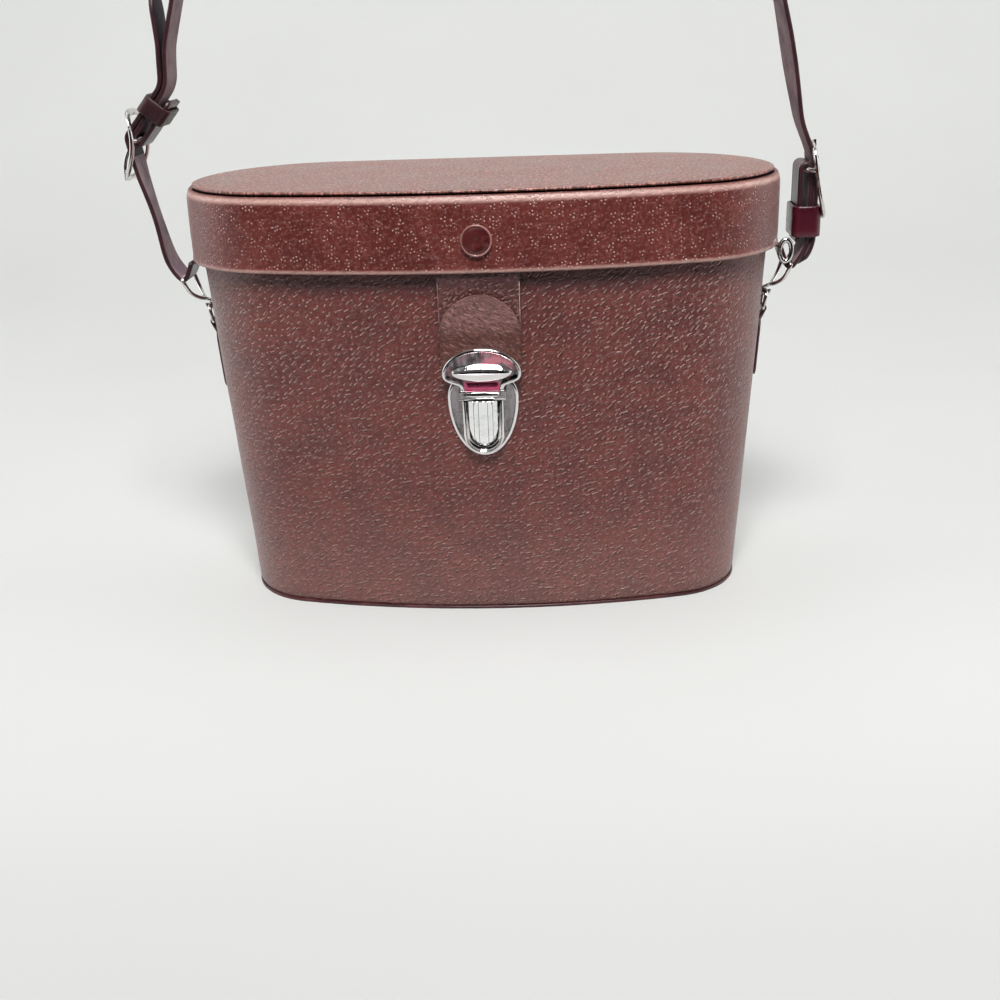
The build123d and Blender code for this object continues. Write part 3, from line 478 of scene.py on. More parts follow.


# PIT_DARK paints shade in pits, on ripples and on strokes' shaded sides, and darkens random specks; GLINT
# paints highlights; the next pale colour paints highlight and reflection bands, and the last one paints shade
# under the lid
GROUND_DEEP, GROUND_WARM, PIT_DARK = colour(86, 29, 26), colour(103, 39, 32), colour(30, 10, 10)
GLINT, PAINTED_PALE_LIGHT, UNDER_LID_SHADE = colour(206, 156, 146), colour(196, 158, 148), colour(54, 18, 28)
SHEEN_TINT = (1.0, 0.84, 0.80, 1.0)
SHADE_REACH = (50.0, 82.0)      # half widths over which the painted shade under the lid fades out
TURN_SPAN = (20.0, 110.0)       # heights between which the body's strokes turn and their painted glints change strength


def leathercloth(name, deep, warm, pits, strokes, depth, slant, painted_glint, gloss=(0.32, 0.42), specular=0.6,
                 coat=0.0, wear_and_painted_light=(), painted_shade=(), rippled=0.5, speckled=0.2):
    """Grained leathercloth: mottled ground, pits and strokes in painted shade, and painted highlights on
    their edges.

    slant, in right angles, and the strength of the painted glints are given for the lower and the upper end
    of
    TURN_SPAN. The pale and the dark band arguments list (start, peak, end, amount) along the cloth: pale
    bands of painted highlight and reflection, and dark bands of painted shade under the lid's edge.
    """
    material, r, shader = new_material(name)
    place = r.wrap()
    height = r.parts(place)["Y"]
    turn_span = [at * MM for at in TURN_SPAN]
    lean = r.span(height, *turn_span, *(math.radians(90) * share for share in slant))
    grain = r.group(PIGSKIN, Vector=place, Pits=pits, Strokes=strokes, Slant=lean)
    tint = r.blend(r.span(grain["Tone"], 0.35, 0.66), deep, warm)
    # dark and pale on the ripples, specks, pits and commas: painted shade and painted highlight; the dark
    # specks are also random tone
    for share, end_colour in (
            (r.span(grain["Ripple"], 0.34, 0.54, rippled, 0.0), PIT_DARK),
            (r.span(grain["Ripple"], 0.54, 0.70, 0.0, rippled * 0.4), GLINT),
            (r.span(grain["Fine"], 0.40, 0.56, speckled, 0.0), PIT_DARK),
            (r.span(grain["Fine"], 0.52, 0.66, 0.0, speckled * 0.6), GLINT),
            (r.times(grain["Sunk"], 0.8), PIT_DARK),
            (r.times(grain["Lit"], r.span(height, *turn_span, *painted_glint)), GLINT)):
        tint = r.blend(share, tint, end_colour)
    # painted shade under the lid's edge, fading out towards the round ends, and pale bands of painted
    # highlight and reflection
    across = r.math("ABSOLUTE", r.parts(r.place())["X"])
    middle = r.span(across, *(at * MM for at in SHADE_REACH), 1.0, 0.0)
    uneven = r.span(grain["Ripple"], 0.3, 0.6, 0.7, 1.0)
    for places, end_colour, where in ((painted_shade, UNDER_LID_SHADE, middle), (wear_and_painted_light, PAINTED_PALE_LIGHT, 1.0)):
        for start, peak, end, amount in places:
            rising = r.span(height, start * MM, peak * MM)
            falling = r.span(height, peak * MM, end * MM, 1.0, 0.0)
            tint = r.blend(r.times(rising, falling, uneven, amount, where), tint, end_colour)
    r.feed(shader, {
        "Base Color": tint, "Roughness": r.span(grain["Tone"], 0.3, 0.7, *gloss),
        "Specular IOR Level": specular, "Coat Weight": coat, "Coat Roughness": 0.32,
        "Sheen Weight": 0.18, "Sheen Roughness": 0.45, "Sheen Tint": SHEEN_TINT,
        "Normal": r.bump(grain["Height"], depth)})
    return material


def creased_leather(name, pale, brown, grain_and_crease_shade, span):
    """Dressed leather, its slanting creases painted dark as shade and pale as highlight; it turns browner
    below the given heights (lower, upper).
    """
    material, r, shader = new_material(name)
    place = r.wrap()
    slanted = r.scaled(r.scaled(place, (1.0, 1.0, 1.0), 32.0), (0.4, 1.0, 1.0))
    creases = r.noise(slanted, 1150.0, 3.0, 0.6, 0.8)
    grain = r.noise(place, 1500.0, 3.0, 0.6)
    tint = r.blend(r.span(r.parts(place)["Y"], *(at * MM for at in span)), brown, pale)
    # random fine grain darkens it a little; the creases get painted highlight on their ridges and painted
    # shade in their hollows
    tint = r.blend(r.span(grain, 0.35, 0.65, 0.25, 0.0), tint, grain_and_crease_shade)
    tint = r.blend(r.span(creases, 0.54, 0.68, 0.0, 0.3), tint, GLINT)
    tint = r.blend(r.span(creases, 0.50, 0.38, 0.0, 0.6), tint, grain_and_crease_shade)
    relief_height = r.math("ADD", creases, r.times(grain, 0.25))
    r.feed(shader, {"Base Color": tint, "Roughness": 0.46, "Normal": r.bump(relief_height, 0.7)})
    return material


def smooth_leather(name, deep, warm, rubbed, gloss=(0.16, 0.30), depth=0.05, scale=1.0):
    """Smooth glossy leather with faint wrinkles and paler rubbed places."""
    material, r, shader = new_material(name)
    hide = r.group(HIDE, Vector=r.place(), Scale=scale)
    ground = r.blend(r.span(hide["Tone"], 0.36, 0.64), deep, warm)
    r.feed(shader, {
        "Base Color": r.blend(r.times(hide["Rubbed"], 0.35), ground, rubbed),
        "Roughness": r.span(hide["Tone"], 0.3, 0.7, *gloss), "Coat Weight": 0.15, "Coat Roughness": 0.2,
        "Normal": r.bump(hide["Height"], depth, 0.6)})
    return material


def raw_leather(name, pale, dark, rough=0.72):
    """Flesh side or cut edge of leather: fibrous, matt."""
    material, r, shader = new_material(name)
    place = r.place()
    fibres = r.noise(r.scaled(place, (1.0, 1.0, 0.35)), 1700.0, 6.0, 0.7, 0.6)
    patches = r.noise(place, 130.0, 4.0)
    r.feed(shader, {
        "Base Color": r.blend(r.span(patches, 0.35, 0.68), pale, dark),
        "Roughness": r.span(fibres, 0.3, 0.7, rough - 0.12, rough + 0.1),
        "Normal": r.bump(fibres, 0.12, 0.7)})
    return material


def plated(name, bright, tarnished, gloss=(0.08, 0.26)):
    """Nickel plate with smears, scratches and dull spots."""
    material, r, shader = new_material(name)
    wear_and_painted_light = r.group(HANDLING, Vector=r.place())
    r.feed(shader, {
        "Base Color": r.blend(r.times(wear_and_painted_light["Tarnish"], 0.6), (*bright, 1), (*tarnished, 1)), "Metallic": 1.0,
        "Roughness": r.span(wear_and_painted_light["Dull"], 0.0, 1.0, *gloss), "Normal": r.bump(wear_and_painted_light["Scratch"], 0.02, 0.25)})
    return material


# where the hasp recess's painted red reflection grows across it, and where it fills the foot
RED_SPAN, RED_FOOT_TOP, RED_FOOT_HALF = (-0.009, 0.004), (0.0892, 0.0880), (0.0066, 0.0056)    # metres


def reflection_painted_plate(name):
    """Polished recess of the hasp, with its reflections painted into its colour: dark grey, and red leather
    most at its right and foot.
    """
    material, r, shader = new_material(name)
    place = r.place()
    parts = r.parts(place)
    patches = r.span(r.noise(r.scaled(place, (1.0, 1.0, 0.8), 20.0), 190.0, 2.0, 0.5, 0.5), 0.42, 0.62)
    across = r.math("ABSOLUTE", parts["X"])
    foot = r.times(r.span(parts["Z"], *RED_FOOT_TOP), r.span(across, *RED_FOOT_HALF))
    red_reflection_share = r.times(patches, r.span(parts["X"], *RED_SPAN, 0.2, 0.85))
    red_reflection_share = r.math("MAXIMUM", red_reflection_share, r.times(foot, 0.9))
    mottle = r.span(r.noise(r.scaled(place, (1.0, 1.0, 0.5)), 420.0, 3.0), 0.35, 0.75)
    dark_reflection = r.blend(mottle, colour(70, 66, 70), colour(160, 152, 156))
    red = r.blend(foot, colour(196, 118, 130), colour(176, 62, 98))
    r.feed(shader, {
        "Base Color": r.blend(red_reflection_share, dark_reflection, red), "Metallic": r.math("SUBTRACT", 1.0, r.times(red_reflection_share, 0.85)),
        "Roughness": r.span(mottle, 0.0, 1.0, 0.12, 0.26)})
    return material


def board(name, pale, dark):
    """Fibreboard: pressed fibres."""
    material, r, shader = new_material(name)
    fibres = r.noise(r.place(), 900.0, 6.0, 0.7)
    r.feed(shader, {"Base Color": r.blend(r.span(fibres, 0.35, 0.65), pale, dark), "Roughness": 0.85,
                    "Normal": r.bump(fibres, 0.1, 0.5)})
    return material


def velvet(name, deep, pile):
    """Short-pile lining."""
    material, r, shader = new_material(name)
    place = r.place()
    brushed = r.span(r.noise(place, 26.0, 5.0, 0.6, 0.6), 0.35, 0.68)
    r.feed(shader, {"Base Color": r.blend(brushed, deep, pile), "Roughness": 0.95, "Sheen Weight": 0.6,
                    "Sheen Roughness": 0.4, "Normal": r.bump(r.noise(place, 2400.0, 2.0), 0.15, 0.6)})
    return material


# ---------------------------------------------------------------- materials
# its dark band just under the lid is painted shade, and its pale band at the foot is a painted reflection of
# the floor
body_cloth = leathercloth("body leathercloth", GROUND_DEEP, GROUND_WARM, pits=0.12, strokes=1.0, depth=0.52,
                          slant=(0.24, 0.42), painted_glint=(0.42, 0.62), specular=0.62, rippled=0.2, speckled=0.15,
                          painted_shade=((115.0, 121.0, 130.0, 0.62),), wear_and_painted_light=((-40.0, 2.0, 52.0, 0.1),))
# its pale band on the turned lower edge is a painted reflection of the floor, and the one on the rolled rim's
# crest is a painted highlight
band_cloth = leathercloth("lid band leathercloth", GROUND_DEEP, GROUND_WARM, pits=0.9, strokes=0.14,
                          depth=0.26, slant=(0.06, 0.06), painted_glint=(0.78, 0.78), specular=0.48, rippled=0.2,
                          speckled=0.12, wear_and_painted_light=((1.9, 2.9, 4.0, 0.7), (24.2, 25.8, 27.4, 0.9)))
# its paler ground is painted sheen: the grazing reflection of the pale surroundings on the lid's top
top_cloth = leathercloth("lid top leathercloth", colour(126, 68, 54), colour(150, 82, 64), pits=0.3,
                         strokes=0.5, depth=0.5, slant=(0.0, 0.0), painted_glint=(0.4, 0.4), gloss=(0.34, 0.46),
                         coat=0.25, speckled=0.8)
# its dark band where it runs under the lid's edge is painted shade
strip_leather = leathercloth("catch strip leather", colour(76, 30, 27), colour(92, 40, 35), pits=0.1,
                             strokes=0.7, depth=0.6, slant=(-0.35, -0.35), painted_glint=(0.6, 0.6),
                             gloss=(0.36, 0.46), painted_shade=((14.0, 18.5, 25.0, 0.7),))
fold_leather = creased_leather("catch fold leather", colour(126, 84, 80), colour(90, 42, 32),
                               colour(40, 16, 16), (13.0, 20.0))
strap_outer = smooth_leather("strap grain side", colour(46, 14, 22), colour(66, 22, 34), colour(110, 66, 78),
                             gloss=(0.3, 0.42))
keeper_leather = smooth_leather("keeper leather", colour(52, 8, 22), colour(76, 14, 32), colour(110, 50, 66),
                                gloss=(0.24, 0.34))
base_leather = smooth_leather("base binding leather", colour(52, 14, 20), colour(72, 24, 30),
                              colour(120, 76, 76), gloss=(0.3, 0.5))
side_leather = smooth_leather("side strip leather", colour(40, 14, 18), colour(58, 24, 28),
                              colour(110, 76, 74), gloss=(0.32, 0.46))
stud_enamel = smooth_leather("stud enamel", colour(66, 20, 22), colour(80, 28, 29), colour(120, 74, 72),
                             gloss=(0.22, 0.34), depth=0.02, scale=4.0)
# the stud's pale rim is a painted highlight
stud_rim = smooth_leather("stud rim, pale painted highlight", colour(150, 104, 98), colour(120, 74, 70),
                          colour(214, 184, 176), gloss=(0.2, 0.3), depth=0.01)
wear_line = raw_leather("rubbed leather edge", colour(190, 160, 150), colour(120, 80, 76), 0.5)
# the dark flesh side is painted shade, where a strap lies in the gap behind another
strap_shaded = raw_leather("strap inside, painted shade", colour(36, 20, 36), colour(22, 12, 24), 0.7)
strap_inner = raw_leather("strap flesh side", colour(136, 116, 120), colour(104, 82, 92))
strap_edge = raw_leather("strap dyed edge", colour(54, 18, 26), colour(36, 10, 18), 0.45)
crevice = raw_leather("shadow gap", colour(44, 18, 18), colour(26, 10, 10), 0.9)
# the dark middle of a strap hole is painted shade
hole_shade = raw_leather("hole in leather, painted shade", colour(22, 8, 12), colour(12, 5, 8), 0.9)
nickel = plated("nickel plate", (0.80, 0.78, 0.775), (0.42, 0.38, 0.38))
polished_nickel = plated("nickel polished by the thumb", (0.93, 0.935, 0.93), (0.62, 0.60, 0.60),
                         (0.14, 0.30))
# the dark recess nickel is painted shade in the catch's recesses, grooves and notches
shaded_nickel_field = plated("nickel recess, painted shade", (0.30, 0.28, 0.29), (0.16, 0.14, 0.15), (0.14, 0.30))
wire_nickel = plated("wire nickel", (0.66, 0.63, 0.62), (0.25, 0.22, 0.21), (0.12, 0.32))
smoked_nickel = plated("nickel in shade", (0.10, 0.095, 0.10), (0.05, 0.045, 0.05), (0.16, 0.30))
brass = plated("rivet brass", (0.72, 0.52, 0.24), (0.30, 0.20, 0.10), (0.2, 0.45))
reflection_painted_recess = reflection_painted_plate("hasp recess, painted reflections")
fibreboard = board("fibreboard", colour(150, 122, 90), colour(112, 84, 58))
lining_velvet = velvet("lining pile", colour(74, 12, 24), colour(112, 24, 40))

# ---------------------------------------------------------------- body and lid covers, profiles as (inset, z)
BODY_FOOT_PROFILE = ((1.2, 0.02), (0.35, 0.15), (0.0, 0.9))
BODY_RIM_PROFILE = ((0.0, -3.2), (0.25, -2.6))
FOOT_AND_TOP = 1.2        # what the evenly spaced rings of the leaning wall leave over
BODY_RINGS = 26

body_profile = moved(BODY_FOOT_PROFILE, BODY_INSET, BASE_TOP)
wall_foot, wall_rise = body_profile[-1][1], LID_BOTTOM - BASE_TOP - FOOT_AND_TOP
body_profile += [(BODY_INSET, wall_foot + wall_rise * i / BODY_RINGS) for i in range(1, BODY_RINGS + 1)]
body_profile += [(BODY_INSET, LID_BOTTOM + 2)] + moved(BODY_RIM_PROFILE, BODY_INSET, RIM_TOP)
body_rings = case_rings([(wall_inset(inset, z), z) for inset, z in body_profile])
body_rings = waver(body_rings, amount=0.22, seed=3.1)
skin("body_skin", body_rings, "case", "leathercloth", [body_cloth], ["body_cover"])

BAND_PROFILE = (
    # turned lower edge
    (1.5, 1.2), (1.48, 0.35), (1.2, 0.06), (0.75, 0.0), (0.25, 0.1), (-0.02, 0.5), (-0.08, 1.1), (-0.02, 1.6),
    # side
    (0.10, 1.9), (0.12, 2.3), (0.06, 4.0), (0.0, 8.0), (0.0, 12.0), (0.0, 16.0), (0.02, 19.5), (0.04, 21.4),
    # rolled rim
    (0.14, 22.3), (0.34, 23.3), (0.68, 24.15), (1.1, 24.65), (1.6, 24.8), (2.0, 24.6), (2.12, 24.1),
    (2.12, 23.7),
)
BOARD_PROFILE = ((1.5, 0.45), (0.5, 0.45), (0.5, 12.0), (0.5, 22.4), (0.95, 23.0), (1.5, 23.0), (1.5, 12.0),
                 (1.5, 0.45))
band_rings = waver(case_rings(moved(BAND_PROFILE, 0, LID_BOTTOM)), amount=0.16, seed=7.7)
skin("lid_band_skin", band_rings, "lid", "leathercloth", [band_cloth], ["lid_cover"])
board_rings = case_rings(moved(BOARD_PROFILE, 0, LID_BOTTOM))
skin("lid_band_board", board_rings, "lid", "fibreboard", [fibreboard], ["lid_band"])
deck_rings = case_rings([(9.0, DECK_LOW), (1.6, DECK_LOW), (1.6, DECK_HIGH - 0.02), (9.0, DECK_HIGH - 0.02)])
skin("lid_deck_board", deck_rings, "lid", "fibreboard", [fibreboard], ["lid_deck"], **CAPPED)

PANEL_INSET, PANEL_TOP = 2.22, CASE_HEIGHT + 0.75
LIP_UNDER = 1.0           # the panel's lip overhangs a shadow gap inside the lid's rolled rim
CREVICE_RINGS = 3         # rings of the panel's profile that lie in that gap
CROWN_SHARES, CROWN_RISE = (0.84, 0.66, 0.46, 0.24, 0.04), 0.25
TOP_PROFILE = (
    (-0.08, -2.5), (2.4, -2.5), (2.2, -LIP_UNDER - 0.05), (0.35, -LIP_UNDER), (0.06, -LIP_UNDER + 0.12),
    (0.0, -0.5), (0.16, -0.14), (0.55, -0.03), (1.4, -0.06), (2.2, -0.02), (4.5, 0.06), (9.0, 0.14),
)
top_rings = case_rings(moved(TOP_PROFILE, PANEL_INSET, PANEL_TOP))
crown_edge = top_rings[-1]
for share in CROWN_SHARES:
    top_rings.append([(x * share, y * share, z + CROWN_RISE * (1 - share)) for x, y, z in crown_edge])
skin("lid_top_skin", top_rings, "lid", "leathercloth", [top_cloth, crevice], ["lid_top"],
     choose=lambda face: face.index < CREVICE_RINGS * len(crown_edge), cap_end=True, uv=lambda p: (p.x, p.y))

# ---------------------------------------------------------------- parts shown straight from the frame
CAD_FINISHES = {
    fibreboard: ("body_shell", "base_board"),
    lining_velvet: ("body_lining", "floor_pad", "lid_pad"),
    base_leather: ("rim_binding", "base_panel"),
    nickel: ("latch_spring", "latch_rivets", "hasp_rivets", "stud_post"),
    brass: ("hinge_rivets_lid", "hinge_rivets_body"),
    side_leather: ("hinge_leaf_lid", "hinge_leaf_body"),
}
CAD_CREASE, SOFT_CREASE, SOFT_EDGE = 42, 50, 0.25
for finish, names in CAD_FINISHES.items():
    for name in names:
        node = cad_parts[name]
        node.data.materials.clear()
        node.data.materials.append(finish)
        for face in node.data.polygons:
            face.use_smooth = True
        if finish in (side_leather, base_leather):
            soft = node.modifiers.new("softened edge", "BEVEL")
            soft.width, soft.segments = SOFT_EDGE * MM, 2
            soft.limit_method, soft.angle_limit = "ANGLE", math.radians(SOFT_CREASE)
        split_edges(node, CAD_CREASE)

# ---------------------------------------------------------------- catch on the front
CATCH_Z = 82.0
PRESSED_CREASE = 38       # angle from which pressed metal's edges are crisp
FACE_OUT = Vector((0, -math.cos(TAPER), -math.sin(TAPER)))
FACE_UP = Vector((0, -math.sin(TAPER), math.cos(TAPER)))
CATCH_ZERO = Vector((0, -HALF_DEPTH + wall_inset(BODY_INSET, CATCH_Z), CATCH_Z))


def on_front(u, v, out):
    """Point on the front wall at the catch: u across, v up the wall, out from it."""
    return CATCH_ZERO + Vector((u, 0, 0)) + FACE_UP * v + FACE_OUT * out


def stepped(outline, steps):
    """Rings on the front wall: the outline stepped inwards and outwards by (inset, height) pairs."""
    return [[on_front(u, v, out) for u, v in offset_outline(outline, inset)] for inset, out in steps]


def relief(name, outline, steps, body, materials, nodes=(), field_from=None):
    """Pressed metal: a stepped outline closed by a flat field.

    Rows of faces from field_from on take the second material.
    """
    choose = None if field_from is None else lambda face: face.index >= field_from * len(outline)
    piece = skin(name, stepped(outline, steps), body, "nickel", materials, nodes, choose, cap_end=True)
    split_edges(piece, PRESSED_CREASE)
    return piece


def thumb_outline(half, centre, top, shoulder=0.0):
    """Straight sides with a round lower end; shoulder cuts the two top corners."""
    low = arc((0, centre), half, 180, 180, 18, last=True)
    right = [(half, top - shoulder), (half - shoulder, top)] if shoulder else [(half, top)]
    return low + mirrored(right)


PLATE_HALF, PLATE_LOW, PLATE_HIGH, PLATE_TOP = 12.1, 21.3, 10.5, 6.0
PLATE_STEPS = ((0, 0.02), (0.0, 0.40), (0.22, 0.74), (0.6, 0.98), (1.0, 1.02), (1.3, 0.74), (1.6, 0.55))
plate_outline = arc((0, 0), (PLATE_HALF, PLATE_LOW), 180, 180, 28)
plate_outline += arc((0, 0), (PLATE_HALF, PLATE_HIGH), 0, 180, 28)
# its field takes the dark recess nickel: painted shade
relief("latch_plate", cut_flat(plate_outline, PLATE_TOP), PLATE_STEPS, "case", [nickel, shaded_nickel_field],
       ["latch_base"], field_from=4)

RIDGE_HALF, RIDGE_CENTRE, RIDGE_TOP = 7.1, -12.4, 0.4
RIDGE_STEPS = ((0, 0.5), (0.02, 2.6), (0.14, 3.3), (0.36, 3.72), (0.66, 3.8), (0.92, 3.66), (1.1, 3.3),
               (1.3, 3.0), (1.6, 2.86), (2.12, 2.8), (2.2, 2.6), (2.2, 0.6))
ridge_outline = thumb_outline(RIDGE_HALF, RIDGE_CENTRE, RIDGE_TOP)
ridge_outline = ridge_outline[-1:] + ridge_outline[:-1]      # it starts at the open top
skin("latch_ridge", stepped(ridge_outline, RIDGE_STEPS), "case", "nickel", [nickel], ["latch_housing"],
     closed=False)

BUTTON_HALF, BUTTON_HEAD, BUTTON_FOOT, BUTTON_LIFT = 4.8, 0.0, -11.3, 4.62
BUTTON_ROWS = 26
FACET_EDGES = (0.30, 0.64)
FACET_COLUMNS = (0.255, FACET_EDGES[0], 0.345, 0.48, 0.595, FACET_EDGES[1], 0.685, 0.84, 1.0)
FACET_GROOVES = (2, 6, 11, 15)     # columns of the button's faces that lie in the grooves between its facets


def facet_height(share):
    """Height of the button's five facets at a share of its half width."""
    groove = -0.16 if share in FACET_EDGES else 0.0
    if share < FACET_EDGES[0]:
        return 0.04 * share
    if share < FACET_EDGES[1]:
        return groove - 0.05 - 0.42 * (share - FACET_EDGES[0])
    return groove - 0.22 - 1.5 * (share - FACET_EDGES[1])


def button_row(row, columns):
    """Points across the button, its rows from the round foot upwards."""
    up = 1 - (1 - row / BUTTON_ROWS) ** 1.6
    drop = 0.9 * max(0.0, 1 - row / 3.0) ** 2 + (0.35 if row == BUTTON_ROWS else 0.0)
    points = []
    for share in columns:
        u = share * BUTTON_HALF
        foot = BUTTON_FOOT - math.sqrt(max(BUTTON_HALF**2 - u**2, 0))
        out = BUTTON_LIFT + facet_height(abs(share)) - drop
        points.append(on_front(u, foot + (BUTTON_HEAD - foot) * up, out))
    return points


button_columns = [-share for share in FACET_COLUMNS[::-1]] + [0.0, *FACET_COLUMNS]
button_rings = [button_row(row, button_columns) for row in range(BUTTON_ROWS + 1)]
# the grooves between its facets take the dark recess nickel: painted shade
skin("latch_button_face", button_rings, "button", "nickel", [polished_nickel, shaded_nickel_field], ["latch_button"],
     choose=lambda face: face.index % (len(button_columns) - 1) in FACET_GROOVES, closed=False)
button_outline = thumb_outline(BUTTON_HALF, BUTTON_FOOT, BUTTON_HEAD, shoulder=0.5)
button_wall = stepped(button_outline, ((0.05, 2.6), (0.0, 3.3), (0.12, 4.0)))
skin("latch_button_wall", button_wall, "button", "nickel", [nickel])
# the notches take the dark recess nickel: painted shade
NOTCH_AT, NOTCH = 2.9, ((-0.5, -0.75), (0.0, -1.35), (0.5, -0.75), (0.0, -0.6))
for name, side in SIDES:
    relief(f"latch_button_notch_{name}", moved(NOTCH, side * NOTCH_AT, 0),
           ((0, 4.0), (0.05, 4.45), (0.3, 4.6)), "button", [shaded_nickel_field])

BAR_LIFT, BAR_FOOT_AT = 0.9, 7.45
BAR_OUTLINE = mirrored(((-7.9, -0.4), (-4.9, -0.4), (-3.4, 0.0))) + [(7.9, 2.9), (-7.9, 2.9)]
# its field takes the dark recess nickel: painted shade
relief("latch_bar", moved(BAR_OUTLINE, 0, BAR_LIFT),
       ((0.0, 3.5), (0.0, 4.5), (0.12, 4.85), (0.34, 4.95), (0.5, 4.8), (0.56, 4.5)),
       "case", [nickel, shaded_nickel_field], ["latch_bridge"], field_from=4)
relief("latch_bar_lozenge", arc((0, 1.45 + BAR_LIFT), (6.9, 1.12), 0, 360, 40),
       ((0, 4.4), (0.06, 4.7), (0.22, 4.9), (0.6, 5.0)), "case", [nickel])
for name, side in SIDES:
    foot = rectangle(0.42, BAR_LIFT - 0.35, BAR_LIFT + 2.85, side * BAR_FOOT_AT)
    relief(f"latch_bar_foot_{name}", foot, ((0, 0.6), (0, 3.6)), "case", [nickel])

# ---------------------------------------------------------------- hasp
HASP_BACK = 1.3 + 2.0 + 0.02       # strip's back, its two layers' thickness and a gap
HASP_HALF, HASP_WIDE, HASP_CROWN, NECK_HALF, NECK_FOOT = 13.3, 9.2, 9.2, 7.3, 3.84
WING_CURVE = ((0.25, 8.2), (0.9, 7.3), (2.3, 6.5), (4.0, 5.9))                     # from the hasp's left end
NECK_CURVE = ((-0.7, 5.5), (-0.15, 4.9), (0.0, 4.4), (0.0, NECK_FOOT), (1.2, NECK_FOOT), (1.5, NECK_FOOT))
HASP_FIELD = 0.6
HASP_STEPS = ((0, 0), (0.0, 0.6), (0.16, 1.0), (0.45, 1.24), (0.85, 1.26), (1.12, 0.86), (1.5, 0.66),
              (2.6, HASP_FIELD))

hasp_outline = arc((0, HASP_WIDE), (HASP_HALF, HASP_CROWN), 0, 180, 40, last=True)
hasp_outline += mirrored(moved(WING_CURVE, -HASP_HALF, 0) + moved(NECK_CURVE, -NECK_HALF, 0))
# its field takes the hasp recess material, whose colour is painted reflection
hasp_dress = relief("hasp_dress", hasp_outline, moved(HASP_STEPS, 0, HASP_BACK), "hasp", [nickel, reflection_painted_recess],
                    ["hasp_plate", "hasp_tongue"], field_from=5)

# the rolled edge is pressed flat where the neck goes down to the catch
FLAT_HALF, FLAT_TOP = NECK_HALF - 1.4, NECK_FOOT + 2.0
flattened = set()
for vertex in hasp_dress.data.vertices:
    place = vertex.co / MM - CATCH_ZERO
    if abs(place.x) < FLAT_HALF and place.dot(FACE_UP) < FLAT_TOP:
        vertex.co -= FACE_OUT * max(place.dot(FACE_OUT) - HASP_BACK - HASP_FIELD, 0.0) * MM
        flattened.add(vertex.index)
# the flattened faces take the hasp recess material with its painted reflections too
for face in hasp_dress.data.polygons:
    if flattened.issuperset(face.vertices):
        face.material_index = 1

# pressed boss: a lens-shaped foot that narrows to a sharp spindle
LENS_Z, LENS_SIZE, LENS_SIDE = 10.0, (10.3, 3.1), 24
LENS_STEPS = ((0, 0.55), (0.05, 0.9), (0.2, 1.12), (0.42, 1.26))
SPINDLE_Z, SPINDLE_HALF = LENS_Z + 0.45, 9.5
SPINDLE_STEPS = ((1.0, 2.1), (0.985, 2.11), (0.96, 1.98))     # its size and its height at each of its rings
spindle = arc((0, SPINDLE_Z), (SPINDLE_HALF, 1.25), 0, 180, LENS_SIDE)
spindle += arc((0, SPINDLE_Z), (SPINDLE_HALF, 0.75), 180, 180, LENS_SIDE)
lens_rings = stepped(arc((0, LENS_Z), LENS_SIZE, 0, 360, 2 * LENS_SIDE), moved(LENS_STEPS, 0, HASP_BACK))
lens_rings += [[on_front(u * size, SPINDLE_Z + (v - SPINDLE_Z) * size, HASP_BACK + out) for u, v in spindle]
               for size, out in SPINDLE_STEPS]
skin("hasp_lens", lens_rings, "hasp", "nickel", [nickel, smoked_nickel], ["hasp_boss"],
     choose=lambda face: face.index >= 5 * len(spindle), cap_end=True)
TONGUE_HALF, TONGUE_TOP = 5.3, 5.0
relief("hasp_catch", rectangle(TONGUE_HALF, 0.5, TONGUE_TOP), ((0, 1.32), (0, 2.1), (0.15, 2.22)),
       "hasp", [nickel])
relief("hasp_step", rectangle(TONGUE_HALF, 3.9, TONGUE_TOP), ((0, 1.4), (0, HASP_BACK + 0.4)),
       "hasp", [nickel])

# ---------------------------------------------------------------- catch strip and stud
TAB_BACK, LEATHER, TAB_HALF = 1.32, 1.0, 13.5
TAB_FOOT, FOLD_APEX = 8.0, 36.2
UNDER_LID_TOP, UNDER_LID_STEP, UNDER_LID_POINTS = 141.5, 1.25, 15
SLOPE_STEPS = 32
STRIP_PROFILE = ((-1.0, 0.0), (-0.985, 0.35), (-0.95, 0.5), (-0.6, 0.5), (0.0, 0.5), (0.6, 0.5), (0.95, 0.5),
                 (0.985, 0.35), (1.0, 0.0), (0.985, -0.35), (0.95, -0.5), (0.5, -0.5), (0.0, -0.5),
                 (-0.5, -0.5), (-0.95, -0.5), (-0.985, -0.35))


def strip_rings(centre, halves, facings):
    """Rings of a flat leather strip along centre points, with its half width and its facing at each."""
    return [[point + X_AXIS * (u * half) + out * (n * LEATHER) for u, n in STRIP_PROFILE]
            for point, half, out in zip(centre, halves, facings)]


# the lower layer hangs inside the lid and bends at its edge
strip_line = [Vector((0, -HALF_DEPTH + 1.52 + LEATHER / 2, UNDER_LID_TOP - i * UNDER_LID_STEP))
              for i in range(UNDER_LID_POINTS)]
lid_edge, strip_end = strip_line[-1], on_front(0, TAB_FOOT, TAB_BACK + LEATHER / 2)
strip_line += [lid_edge.lerp(strip_end, i / SLOPE_STEPS) for i in range(1, SLOPE_STEPS + 1)]
bent_rings = strip_rings(strip_line, [TAB_HALF] * len(strip_line),
                         [-Y_AXIS] * UNDER_LID_POINTS + [FACE_OUT] * SLOPE_STEPS)
strip_piece = skin("catch_strip", bent_rings, None, "trim_leather", [strip_leather],
                   ["latch_tab", "tab_anchor"], **CAPPED)
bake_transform(strip_piece)

